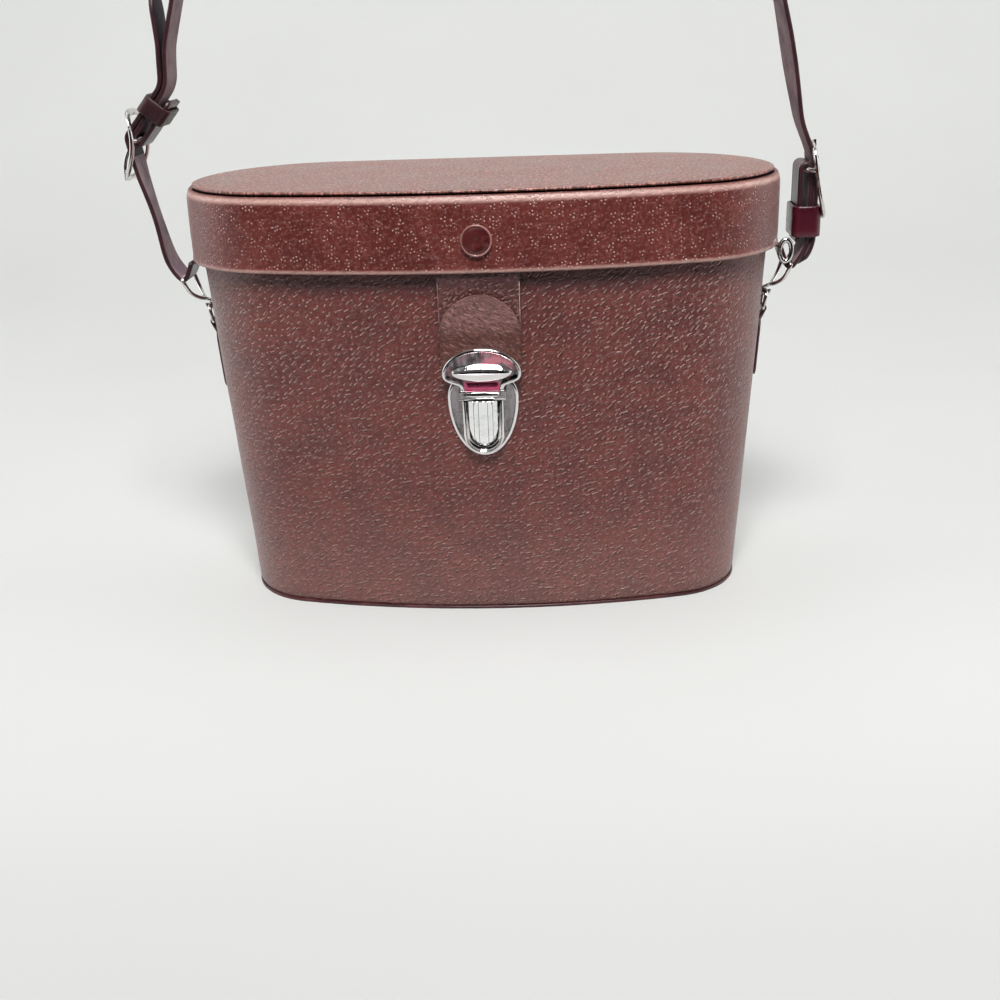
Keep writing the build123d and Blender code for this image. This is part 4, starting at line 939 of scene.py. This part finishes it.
# rubbed pale lines along its edges, a little wider and narrower by turns
WEAR_INSET, WEAR_TOP, WEAR_RUN, WEAR_RINGS = 0.22, FOLD_APEX + 3.6, 13.0, 9
WEAR_PROFILE = ((-1, 0.0), (1, 0.0), (1, 0.06), (-1, 0.06))
for name, side in SIDES:
    worn_rings = []
    for i in range(WEAR_RINGS):
        half = 0.10 + 0.05 * math.sin(i * 2.4)
        v = WEAR_TOP - WEAR_RUN * i / (WEAR_RINGS - 1)
        worn_rings.append([on_front(side * (TAB_HALF - WEAR_INSET) + u * half, v, TAB_BACK + LEATHER + rise)
                           for u, rise in WEAR_PROFILE])
    skin(f"catch_strip_wear_{name}", worn_rings, "hasp", "trim_leather", [wear_line], **CAPPED)


FOLD_TUCK = 0.05          # the upper layer's edges stay this much inside the lower one's


def fold_half(v):
    """Half width of the round-topped upper layer at height v."""
    if v <= FOLD_APEX - TAB_HALF:
        return TAB_HALF
    return math.sqrt(max(TAB_HALF**2 - (v - FOLD_APEX + TAB_HALF) ** 2, 0.0)) or FOLD_TUCK


# the upper layer is sewn on the lower one and swells a little between
FOLD_SWELL, FOLD_SWELL_RUN = 0.12, 34
FOLD_FLAT_STEPS = 12
fold_heights = [TAB_FOOT + 0.2 + (FOLD_APEX - TAB_HALF - TAB_FOOT) * i / FOLD_FLAT_STEPS
                for i in range(FOLD_FLAT_STEPS + 1)]
fold_heights += [FOLD_APEX - TAB_HALF + TAB_HALF * math.sin(math.radians(a)) for a in range(6, 91, 4)]
fold_middle = TAB_BACK + LEATHER * 1.5 + 0.03
fold_line = [on_front(0, v, fold_middle + FOLD_SWELL * math.sin(math.pi * (v - TAB_FOOT) / FOLD_SWELL_RUN))
             for v in fold_heights]
fold_rings = strip_rings(fold_line, [fold_half(v) - FOLD_TUCK for v in fold_heights],
                         [FACE_OUT] * len(fold_line))
skin("catch_strip_fold", fold_rings, "hasp", "trim_leather", [fold_leather], ["tab_fold"], **CAPPED)

STUD_Z, STUD_STEPS = 135.7, 48
RIM_FACES = range(7 * STUD_STEPS, 12 * STUD_STEPS)
STUD_PROFILE = ((0.02, 0.90), (0.3, 0.88), (0.6, 0.96), (1.6, 1.02), (3.2, 1.04), (4.1, 0.98), (4.4, 0.80),
                (4.5, 0.82), (4.64, 1.12), (4.82, 1.26), (5.02, 1.14), (5.14, 0.7), (5.16, 0.3), (5.16, 0.0))
stud_rings = turned_rings(Vector((0, -HALF_DEPTH, STUD_Z)), X_AXIS, Z_AXIS, -Y_AXIS, STUD_PROFILE, STUD_STEPS)
skin("stud_cover", stud_rings, "lid", "stud_enamel", [stud_enamel, stud_rim], ["stud_cap"],
     choose=lambda face: face.index in RIM_FACES, cap_start=True)

# ---------------------------------------------------------------- strap: routes in X and Z, as in the frame
STRAP_HALF, STRAP_THICK = 6.5, 1.6
RING_TOP = Vector((100.95, 108.5))
CLIP_LEAN = math.radians(56.2)
CLIP_BAR = RING_TOP + Vector((math.cos(CLIP_LEAN), math.sin(CLIP_LEAN))) * 11.5
FOLD = 0.75 + STRAP_THICK / 2                  # from the clip's bar to the middle of the strap round it
LAYER = 1.8                                    # from a buckle's bar to the strap's layers round it
TAIL = LAYER + STRAP_THICK + 0.25              # and to the layer that lies over them
RIGHT_BAR, LEFT_BAR, LEFT_LEAN = Vector((111.2, 149.6)), Vector((-117.3, 166.0)), math.radians(40.6)
TIGHT = LAYER - 0.05


class BuckleFrame:
    """A buckle's own directions, n outwards and s towards the prong's tip, in X and Z."""

    def __init__(self, bar, out, tip):
        self.bar, self.out, self.tip = bar, Vector(out), Vector(tip)

    def at(self, n, s):
        return self.bar + self.out * n + self.tip * s

    def points(self, *pairs):
        return [self.at(n, s) for n, s in pairs]


RIGHT = BuckleFrame(RIGHT_BAR, (1, 0), (0, 1))
LEFT = BuckleFrame(LEFT_BAR, (-1, 0), (0, -1))
LEFT_FOLD = BuckleFrame(LEFT_BAR, (-math.cos(LEFT_LEAN), math.sin(LEFT_LEAN)),
                        (-math.sin(LEFT_LEAN), -math.cos(LEFT_LEAN)))


def stepped_run(start, end, steps):
    """Points at equal steps after start, up to end."""
    return [start.lerp(end, k / steps) for k in range(1, steps + 1)]


NEARLY_STRAIGHT = math.radians(89.5)      # half a corner's angle from which it needs no rounding
ARC_STEP, SHARP_TURN, SHARP_STEP = 0.5, 0.02, 0.45


def rounded_route(points, radii, step=1.0):
    """Runs and tangent arcs through 2-D points, evenly spaced; radii has one number per inner point."""
    points = [Vector(p) for p in points]
    dense = [points[0]]
    for before, corner, after, radius in zip(points, points[1:], points[2:], radii):
        a, b = (before - corner).normalized(), (after - corner).normalized()
        half = math.acos(max(-1.0, min(1.0, a.dot(b)))) / 2
        if half > NEARLY_STRAIGHT:
            dense.append(corner)
            continue
        reach = radius / math.tan(half)
        centre = corner + (a + b).normalized() * (radius / math.sin(half))
        start, end = corner + a * reach - centre, corner + b * reach - centre
        turn = start.angle_signed(end)
        steps = max(3, int(abs(turn) * radius / ARC_STEP))
        for i in range(steps + 1):
            angle = -turn * i / steps
            dense.append(centre + Vector((start.x * math.cos(angle) - start.y * math.sin(angle),
                                          start.x * math.sin(angle) + start.y * math.cos(angle))))
    dense.append(points[-1])
    return respaced(dense, step)


def respaced(points, step):
    """The same line with its points about step apart, closer where it turns sharply."""
    lengths = run_lengths(points)
    kept, at = [points[0]], 0.0
    for i in range(1, len(points)):
        last = i == len(points) - 1
        turn = 0.0 if last else (points[i] - points[i - 1]).angle(points[i + 1] - points[i], 0.0)
        wanted = step if turn < SHARP_TURN else min(step, SHARP_STEP)
        if last or lengths[i] - at >= wanted:
            kept += stepped_run(kept[-1], points[i], max(1, int((lengths[i] - at) / step)))
            at = lengths[i]
    return kept


def eased(route, low, high, step=1.5, passes=60):
    """Route sampled evenly, with the kinks between the heights low and high smoothed away."""
    even = [route[0]]
    for a, b in zip(route, route[1:]):
        even += stepped_run(a, b, max(1, round((b - a).length / step)))
    free = [i for i, p in enumerate(even) if low < p.y < high and 0 < i < len(even) - 1]
    for _ in range(passes):
        for i, p in [(i, (even[i - 1] + even[i + 1]) * 0.25 + even[i] * 0.5) for i in free]:
            even[i] = p
    return even


FOLD_START, FOLD_SWEEP, SHORT_END = 200.0, 125.0, 6.0


def fold_round_clip(points, radii, side=1):
    """Route of a strap from its short end round the clip's bar and on; side is -1 for the left clip."""
    curve = [Vector(p) for p in arc(CLIP_BAR, FOLD, FOLD_START, FOLD_SWEEP, 16, last=True)]
    start = math.radians(FOLD_START)
    short_end = curve[0] + Vector((math.sin(start), -math.cos(start))) * SHORT_END
    route = [short_end] + stepped_run(short_end, curve[0], 5)[:-1] + curve
    route += rounded_route([curve[-1]] + [(side * x, z) for x, z in points], radii)[1:]
    return [Vector((side * p.x, p.y)) for p in route]


STRAP_PROFILE = ((-1.0, 0.05), (-0.985, 0.34), (-0.94, 0.47), (-0.88, 0.5), (-0.80, 0.46), (-0.4, 0.5),
                 (0.0, 0.5), (0.4, 0.5), (0.80, 0.46), (0.88, 0.5), (0.94, 0.47), (0.985, 0.34), (1.0, 0.05),
                 (1.0, -0.25), (0.97, -0.46), (0.9, -0.5), (0.45, -0.5), (0.0, -0.5), (-0.45, -0.5),
                 (-0.9, -0.5), (-0.97, -0.46), (-1.0, -0.25))
EDGE_POINTS, FLESH_POINTS = {0, 1, 11, 12, 13, 20, 21}, set(range(14, 20))
STRAP_MATERIALS = [strap_outer, strap_edge, strap_inner, strap_shaded]
SWAY, SWAY_RUN, CURL, CURL_RUN = 0.14, 22.0, 0.10, 16.0     # slight sideways and lengthways unevenness


def twist_at(point, twist):
    """Turn of a strap about its own line, in radians, from (side, low, peak, high, degrees) entries."""
    turn = 0.0
    for side, low, peak, high, degrees in twist:
        if point.x * side > 0 and low < point.y < high:
            share = (point.y - low) / (peak - low) if point.y < peak else (high - point.y) / (high - peak)
            turn += math.radians(degrees) * (share * share * (3 - 2 * share))
    return turn


def strap_skin(name, route, grain_side, nodes, tip, seed, twist=(), shaded_above=math.inf):
    """Flat strap along an X-Z route: creased lines near its edges, and its flesh side opposite grain_side.

    tip is the length of its rounded end. Between the heights low and high of a twist entry the strap turns,
    most of all at peak. Above the given height its flesh side takes painted shade, the shade between two
    strap layers.
    """
    lengths = run_lengths(route)
    rings = []
    for i, p in enumerate(route):
        along, run = direction(route, i), lengths[i]
        out = Vector((-along.y, 0, along.x)) * grain_side
        half = STRAP_HALF
        if lengths[-1] - run < tip:
            half = STRAP_HALF * math.sqrt(max(1 - ((tip - lengths[-1] + run) / tip) ** 2, 0.02))
        turn = twist_at(p, twist)
        sway = noise.noise(Vector((run / SWAY_RUN, seed, 0))) * SWAY
        curl = noise.noise(Vector((run / CURL_RUN, seed + 5, 0))) * CURL
        ring = []
        for u, n in STRAP_PROFILE:
            lift = n * STRAP_THICK + curl * u * abs(u) * 0.5
            across = u * half + sway
            level = across * math.cos(turn) - lift * math.sin(turn)
            ring.append(Vector((p.x, level, p.y)) + out * (lift * math.cos(turn) + across * math.sin(turn)))
        rings.append(ring)
    width = len(STRAP_PROFILE)

    def side_of(face):
        at = face.index % width
        if face.index >= width * (len(route) - 1) or at in EDGE_POINTS:
            return STRAP_MATERIALS.index(strap_edge)
        if at in FLESH_POINTS:
            return STRAP_MATERIALS.index(strap_shaded if face.center.z > shaded_above * MM else strap_inner)
        return 0

    skin(name, rings, "strap", "strap_leather", STRAP_MATERIALS, nodes, side_of, **CAPPED)


HOLE_RADIUS, HOLE_STEPS = 1.3, 20
HOLE_PROFILE = ((1.25, 0.0), (1.1, 0.10), (0.95, 0.08), (0.85, 0.015), (0.5, 0.012), (0.05, 0.012))


def strap_hole(name, route, at, grain_side):
    """Punched hole at a distance along a strap: dished, with a stretched rim, on the grain side; its dark
    middle is painted shade in place of the hole's depth.
    """
    steps = zip(route, route[1:], run_lengths(route)[1:])
    before, here = next((start, end) for start, end, run in steps if run >= at)
    along = (here - before).normalized()
    out = Vector((-along.y, 0, along.x)) * grain_side
    centre = Vector((here.x, 0, here.y)) + out * (STRAP_THICK / 2)
    profile = [(HOLE_RADIUS * size, rise) for size, rise in HOLE_PROFILE]
    rings = turned_rings(centre, Y_AXIS, Vector((along.x, 0, along.y)), out, profile, HOLE_STEPS)
    skin(name, rings, "strap", "strap_leather", [strap_outer, hole_shade],
         choose=lambda face: face.index >= 3 * HOLE_STEPS, cap_end=True)


chape_points = RIGHT.points((LAYER, -26.1), (LAYER, LAYER), (-LAYER, LAYER), (-LAYER, -24.5))
chape_route = fold_round_clip(chape_points, [16.0, TIGHT, TIGHT])
strap_skin("chape_right_strap", chape_route, -1, ["chape_right"], tip=0.0, seed=1.0)

LEFT_BEND = 20.5
billet_points = [(-113.0, 123.5), (-114.9, 136.3), (-118.6, 152.0), (-121.15, 167.1),
                 LEFT_FOLD.at(TAIL, 0.6 - LEFT_BEND), (-106.4, 196.4), (-107.2, 214.0)]
billet_route = fold_round_clip(billet_points, [9.0, 40.0, 40.0, 3.5, 8.0, 30.0], side=-1)
# above 160 mm its flesh side is painted shade, in the gap behind the shoulder strap
strap_skin("billet_left_strap", eased(billet_route, 114.0, 152.0), 1, ["billet_left"], tip=8.0, seed=2.0,
           twist=[(-1, 119.0, 140.0, 162.0, 8.0)], shaded_above=160.0)

shoulder_points = LEFT_FOLD.points((-LAYER, -17.0), (-LAYER, LAYER), (LAYER, LAYER), (LAYER, -LEFT_BEND))
shoulder_points += [(-104.3, 195.5), (-86.0, 255.0), (-40.0, 296.0), (30.0, 300.0), (88.0, 258.0),
                    (103.2, 193.0), (108.8, 165.3)]
shoulder_points += RIGHT.points((1.2, 7.2), (TAIL, 0.6), (TAIL, -26.9), (-0.7, -32.8))
shoulder_radii = [TIGHT, TIGHT, 12.0, 30.0, 85.0, 85.0, 85.0, 85.0, 60.0, 30.0, 20.0, 10.0, 14.0]
shoulder_route = rounded_route(shoulder_points, shoulder_radii, 2.0)
strap_skin("shoulder_strap_skin", shoulder_route, 1, ["shoulder_strap"], tip=5.0, seed=3.0,
           twist=[(1, 160.0, 187.0, 222.0, -8.0)])

for at in (26, 44, 62):
    strap_hole(f"billet_hole_{at}", billet_route[::-1], at, -1)


# ---------------------------------------------------------------- buckles, prongs, keepers
def wire_piece(name, points, radius, body, nodes=(), closed=False):
    """Round wire through 3-D points."""
    data = bpy.data.curves.new(name, "CURVE")
    data.dimensions = "3D"
    spline = data.splines.new("NURBS")
    spline.points.add(len(points) - 1)
    for made, p in zip(spline.points, points):
        made.co = (p[0] * MM, p[1] * MM, p[2] * MM, 1)
    spline.use_cyclic_u = closed
    spline.order_u = 3
    spline.use_endpoint_u = not closed
    data.resolution_u = 6
    data.bevel_depth = radius * MM
    data.bevel_resolution = 4
    data.use_fill_caps = True
    curve = linked(name + "_route", data)
    bpy.context.view_layer.update()
    mesh = bpy.data.meshes.new_from_object(curve.evaluated_get(bpy.context.evaluated_depsgraph_get()))
    bpy.data.objects.remove(curve)
    mesh.name = name
    for face in mesh.polygons:
        face.use_smooth = True
    new_piece(name, mesh, body, [wire_nickel], nodes)


BUCKLE_HALF, BUCKLE_STEPS, BUCKLE_POWER = 10.0 - 0.8, 96, 0.62
BUCKLE_SECTION = arc((0, 0), (1.25, 0.78), 0, 360, 12)
BUCKLE_WIRE, PRONG_WIRE, PRONG_CURL, PRONG_REST = 0.9, 0.62, 1.55, 1.7 / 2 + 0.65 + 0.05
BAR_DIP = ((-9.2, 1.0), (-8.4, 0.45), (-7.2, 0.0), (0.0, 0.0), (7.2, 0.0), (8.4, 0.45), (9.2, 1.0))


def buckle_ring(frame_at, c, d, middle, reach, bow):
    """Section of the buckle's wire where its plain outline has the direction (c, d)."""
    y = BUCKLE_HALF * math.copysign(abs(c) ** BUCKLE_POWER, c)
    s = middle + reach * math.copysign(abs(d) ** BUCKLE_POWER, d)
    lean = math.atan((bow(s + 0.1) - bow(s - 0.1)) / 0.2)
    ring = []
    for w, t in BUCKLE_SECTION:
        x, z = frame_at.at(bow(s) - d * w * math.sin(lean) + t * math.cos(lean),
                           s - d * w * math.cos(lean) - t * math.sin(lean))
        ring.append((x, y - c * w, z))
    return ring


def buckle_skin(side_name, frame_at, ends, bow):
    """Bowed oval frame of flattened wire with a round centre bar; bow gives its height n along s."""
    middle, reach = (ends[0] + ends[1]) / 2, abs(ends[0] - ends[1]) / 2 - 0.6
    rings = [buckle_ring(frame_at, c, d, middle, reach, bow) for c, d in arc((0, 0), 1, 0, 360, BUCKLE_STEPS)]
    name = f"buckle_{side_name}_frame"
    skin(name, rings + rings[:1], "strap", "nickel", [wire_nickel], [f"buckle_{side_name}"])
    bar = [(frame_at.at(bow(0.0) * share, 0.0), y) for y, share in BAR_DIP]
    wire_piece(name + "_bar", [(p.x, y, p.y) for p, y in bar], BUCKLE_WIRE, "strap")


def prong_pin(side_name, frame_at, tip_s, tip_n):
    """Prong curled round the centre bar, its tip resting on the frame's end."""
    rest = tip_n + PRONG_REST
    shank = arc((0, 0), PRONG_CURL, -150, 180, 6) + [(2.6, 1.9), (5.0, 3.0)]
    shank += [(rest, (3.0 + tip_s) / 2), (rest + 0.15, tip_s - 0.6), (rest, tip_s + 0.5)]
    points = [(p.x, 0.0, p.y) for p in frame_at.points(*shank)]
    wire_piece(f"prong_{side_name}_pin", points, PRONG_WIRE, "strap", [f"prong_{side_name}"])


def right_bow(s):
    return 2.9 - 0.1545 * s + 0.00557 * s * s


def left_bow(s):
    return 1.0 + 0.0315 * s + 0.0244 * s * s


BUCKLES = (("right", RIGHT, (8.8, -16.6), right_bow), ("left", LEFT, (13.6, -9.5), left_bow))
for name, frame_at, ends, bow in BUCKLES:
    buckle_skin(name, frame_at, ends, bow)
    prong_pin(name, frame_at, ends[0], bow(ends[0]))

KEEPER_TURN, KEEPER_WALL, KEEPER_PLAY = 1.7, 1.1, 0.3     # inner corner radius, thickness, room inside
KEEPER_SECTION = ((0.0, -0.5), (0.0, 0.5), (0.12, 0.53), (0.5, 0.545), (0.88, 0.53), (1.0, 0.49), (1.03, 0.3),
                  (1.0, 0.0), (1.03, -0.3), (1.0, -0.49), (0.88, -0.53), (0.5, -0.545), (0.12, -0.53))


def keeper_skin(side_name, frame_at, centre, height, body, material):
    """Leather loop with rounded corners, thicker than paper and rounded over at its mouths."""
    inner = -LAYER - STRAP_THICK / 2 - KEEPER_PLAY + KEEPER_TURN
    outer = TAIL + STRAP_THICK / 2 + KEEPER_PLAY - KEEPER_TURN
    half = STRAP_HALF + KEEPER_PLAY - KEEPER_TURN
    plan = []
    for n, y, start in ((outer, half, 0), (inner, half, 90), (inner, -half, 180), (outer, -half, 270)):
        plan += [(n + KEEPER_TURN * out_n, y + KEEPER_TURN * out_y, out_n, out_y)
                 for out_n, out_y in arc((0, 0), 1, start, 90, 6, last=True)]
    rings = []
    for share, level in KEEPER_SECTION:
        wall = KEEPER_WALL * share
        at = [(frame_at.at(n + out_n * wall, centre + level * (height - 0.6) / 1.02), y + out_y * wall)
              for n, y, out_n, out_y in plan]
        rings.append([(p.x, y, p.y) for p, y in at])
    name = f"keeper_{side_name}"
    skin(name + "_loop", rings + rings[:1], body, "keeper_leather", [material], [name])


keeper_skin("right", RIGHT, -17.5, 10.5, "keeper_r", keeper_leather)
keeper_skin("left", LEFT_FOLD, -11.5, 6.6, "keeper_l", strap_edge)

# ---------------------------------------------------------------- side strips, rings and wire clips
RING_BAR = Vector((99.0, 101.0))
RING_HOLD = Vector((100.25, 107.3))    # middle of the ring's top wire, where the clip hooks on
RING_MIDDLE_Z, RING_HALF, RING_WIRE = 104.5, 2.9, 0.62
STRIP_THICK, STRIP_FOOT, STRIP_RUN, STRIP_HALF, STRIP_NARROW = 0.9, 77.0, 20.5, 5.0, 2.1
STRIP_ROUND, STRIP_GAP = 3.0, 0.1      # radius of the strip's lower corners, and the gap behind it
SIDE_PROFILE = ((-1, 0), (-0.97, 0.35), (-0.9, 0.5), (0, 0.5), (0.9, 0.5), (0.97, 0.35), (1, 0),
                (0.97, -0.35), (0.9, -0.5), (0, -0.5), (-0.9, -0.5), (-0.97, -0.35))
NARROW_FROM, NARROW_RUN = 95.0, 4.0    # height where the strip begins to narrow, and over how much
END_RADIUS = 36.0                      # of the body's round end in plan
CLIP_WIRE, CLIP_TIP = 0.72, Vector((101.9, 109.3))
# front half of the clip's loop, from its bar down to the neck: (y, x, z)
CLIP_ARM = ((7.4, CLIP_BAR.x, CLIP_BAR.y), (7.7, CLIP_BAR.x - 0.5, CLIP_BAR.y - 1.6), (7.0, 105.9, 114.0),
            (5.6, 104.9, 112.0), (3.4, 103.5, 110.5), (1.4, 102.3, 109.6))
HOOK_TURN, HOOK_WIRE, HOOK_SWEEP = 1.3, 0.66, 262
RIVET_HEIGHTS, RIVET_STEPS = (93.0, 81.0), 20
RIVET_PROFILE = ((1.7, -0.12), (1.7, 0.1), (1.45, 0.28), (0.95, 0.42), (0.4, 0.48), (0.05, 0.49))


def strip_face(z, thick):
    """Distance from the case's middle to a side strip: its face, or with half its thickness its middle."""
    return LID_WIDTH / 2 - wall_inset(BODY_INSET, z) + STRIP_GAP + thick


def side_half(z):
    """Half width of a side strip: rounded at its foot, narrowed at its top."""
    below = STRIP_FOOT + STRIP_ROUND - z
    if below > 0:
        return STRIP_HALF - STRIP_ROUND + math.sqrt(max(STRIP_ROUND**2 - below**2, 0.4))
    return STRIP_HALF - (STRIP_HALF - STRIP_NARROW) * min(max((z - NARROW_FROM) / NARROW_RUN, 0.0), 1.0)


def side_strip(name, side):
    """Leather strip down the end of the body; its narrowed top turns over the ring's bar."""
    heights = [STRIP_FOOT + STRIP_RUN * i / 14 for i in range(15)]
    line = [Vector((strip_face(z, STRIP_THICK / 2), z)) for z in heights]
    line += [Vector(p) for p in arc(RING_BAR, RING_WIRE + 0.06 + STRIP_THICK / 2, -8, 108, 9)]
    rings = []
    for i, p in enumerate(line):
        along = direction(line, i)
        out = Vector((along.y, 0, -along.x))
        ring = []
        for u, n in SIDE_PROFILE:
            y = u * side_half(p.y)
            q = Vector((p.x - y * y / (2 * END_RADIUS), y, p.y)) + out * (n * STRIP_THICK)
            ring.append((side * q.x, q.y, q.z))
        rings.append(ring)
    skin(f"side_strip_{name}", rings, "case", "trim_leather", [side_leather], [f"side_tab_{name}"], **CAPPED)


def ring_wire(name, side):
    """Ring through the side strip's turn; it leans outwards from its bar."""
    front = [(-RING_HALF, RING_MIDDLE_Z), (-RING_HALF, RING_BAR.y + 1.6), (-RING_HALF, RING_BAR.y + 0.25)]
    outline = [(y, RING_BAR.y) for y in (-RING_HALF + 0.7, 0.0, RING_HALF - 0.7)]
    outline += [(-y, z) for y, z in front[::-1]]
    outline += arc((0, RING_MIDDLE_Z), (RING_HALF, RING_HOLD.y - RING_MIDDLE_Z), 15, 165, 11) + front
    rise = (RING_HOLD.x - RING_BAR.x) / (RING_HOLD.y - RING_BAR.y)
    points = [(side * (RING_BAR.x + rise * (z - RING_BAR.y)), y, z) for y, z in outline]
    wire_piece(f"ring_{name}", points, RING_WIRE, "case", [f"d_ring_{name}"], closed=True)


def clip_wires(name, side):
    """Wire clip: a loop round the strap's bar, and a hook on the ring's top wire."""
    loop_line = [(side * CLIP_BAR.x, y, CLIP_BAR.y) for y in (-3.0, 3.0)]
    loop_line += [(side * x, y, z) for y, x, z in CLIP_ARM] + [(side * CLIP_TIP.x, 0.0, CLIP_TIP.y)]
    loop_line += [(side * x, -y, z) for y, x, z in CLIP_ARM[::-1]]
    wire_piece(f"clip_{name}_loop", loop_line, CLIP_WIRE, "strap", [f"strap_clip_{name}"], closed=True)
    neck = CLIP_TIP - RING_HOLD
    meet = math.degrees(math.atan2(neck.y, neck.x) + math.acos(HOOK_TURN / neck.length))
    hook = [RING_HOLD + neck * 1.08, RING_HOLD + neck]
    hook += [Vector(p) for p in arc(RING_HOLD, HOOK_TURN, meet, HOOK_SWEEP, 14, last=True)]
    wire_piece(f"clip_{name}_hook", [(side * p.x, 0.0, p.y) for p in hook], HOOK_WIRE, "strap")


rivet_meshes = []
for name, side in SIDES:
    side_strip(name, side)
    ring_wire(name, side)
    clip_wires(name, side)
    out = Vector((side * math.cos(TAPER), 0, -math.sin(TAPER)))
    up = Vector((side * math.sin(TAPER), 0, math.cos(TAPER)))
    for z in RIVET_HEIGHTS:
        head = Vector((side * strip_face(z, STRIP_THICK), 0, z))
        domes = turned_rings(head, Y_AXIS, up, out, RIVET_PROFILE, RIVET_STEPS)
        rivet_meshes.append(loft("side_rivet", domes, **CAPPED))

rivets = bpy.data.meshes.new("side_rivets_dress")
joined = bmesh.new()
for mesh in rivet_meshes:
    joined.from_mesh(mesh)
joined.to_mesh(rivets)
joined.free()
new_piece("side_rivets_dress", rivets, "case", [brass], ["side_rivets"])

# the right clip's sprung eye, curled in front of the strap's edge
EYE_AT, EYE_SIZE, EYE_Y, EYE_WIRE = Vector((105.1, 122.6)), (2.05, 3.7), -8.05, 0.9
eye_line = [(x, EYE_Y, z) for x, z in arc(EYE_AT, EYE_SIZE, 0, 360, 18)]
wire_piece("clip_right_eye", eye_line, EYE_WIRE, "strap", closed=True)

# ---------------------------------------------------------------- stage and light
FLOOR_HALF, FLOOR_FRONT, BACK_AT, BACK_HEIGHT, SWEEP = 2600.0, -340.0, 1250.0, 2400.0, 700.0
FLOOR_DROP = 0.02
GLOW_SPAN = (-0.1, 1.2)          # depths in metres between which the floor's faint glow grows
FLOOR_GLOW, BACK_GLOW = (0.04, 0.04, 0.04, 1), (0.25, 0.255, 0.25, 1)
CARD_DARK, CARD_LIGHT, BLACK = (0.50, 0.503, 0.492, 1), (0.525, 0.53, 0.52, 1), (0.0, 0.0, 0.0, 1)
WINDOW_SIZE, CASE_MIDDLE = (0.9, 1.2), (0, 0, 0.1)
SKY_FRONT, SKY_BACK, SKY_STRENGTH = (0.06, 0.055, 0.055, 1), (0.92, 0.93, 0.93, 1), 0.18


def sweep_mesh():
    """Pale floor that curves up into a backdrop behind the case."""
    profile = [(FLOOR_FRONT, 0.0), (0.0, 0.0), (BACK_AT - SWEEP, 0.0)]
    profile += arc((BACK_AT - SWEEP, SWEEP), SWEEP, -85, 85, 17, last=True) + [(BACK_AT, BACK_HEIGHT)]
    rings = [[(x * FLOOR_HALF, y, z - FLOOR_DROP) for y, z in profile] for x in (-1, -0.33, 0.33, 1)]
    return loft("floor_sweep", rings, closed=False)


def floor_material():
    """Pale matt card; it glows a little towards the back, where the lamps over the case hardly reach."""
    material, r, shader = new_material("pale floor")
    place = r.place()
    depth = r.parts(place)["Y"]
    card = r.blend(r.span(r.noise(place, 2.2, 3.0), 0.3, 0.7), CARD_DARK, CARD_LIGHT)
    r.feed(shader, {
        "Base Color": r.blend(r.span(depth, -0.06, -0.26, 0.0, 0.22), card, BLACK),
        "Emission Color": r.blend(r.span(depth, *GLOW_SPAN), FLOOR_GLOW, BACK_GLOW),
        "Emission Strength": 1.0, "Roughness": 0.9, "Specular IOR Level": 0.2})
    return material


floor = linked("floor_sweep", sweep_mesh())
floor.data.materials.append(floor_material())


def soft_light(name, place, aim, size, power):
    """Rectangular lamp, in metres and watts."""
    data = bpy.data.lights.new(name, "AREA")
    data.shape, data.size, data.size_y = "RECTANGLE", *size
    data.energy = power
    light = linked(name, data)
    light.location = place
    light.rotation_euler = (Vector(aim) - Vector(place)).to_track_quat("-Z", "Y").to_euler()


soft_light("key", (0.05, -0.80, 1.22), CASE_MIDDLE, (0.5, 0.4), 27.0)
soft_light("overhead", (0.0, 0.35, 1.30), (0, 0.1, 0.1), (1.2, 0.9), 4.0)
soft_light("left_window", (-1.25, 0.10, 0.45), CASE_MIDDLE, WINDOW_SIZE, 6.2)
soft_light("right_window", (1.25, 0.15, 0.45), CASE_MIDDLE, WINDOW_SIZE, 5.6)

world = bpy.data.worlds.new("studio")
bpy.context.scene.world = world
world.use_nodes = True
sky = Recipe(world.node_tree)
depth_way = sky.parts(sky.add("ShaderNodeTexCoord").outputs["Generated"])["Y"]
sky.feed(world.node_tree.nodes["Background"], {
    "Color": sky.blend(sky.span(depth_way, -0.75, -0.15), SKY_FRONT, SKY_BACK), "Strength": SKY_STRENGTH})
bpy.context.scene.view_settings.view_transform = "Standard"
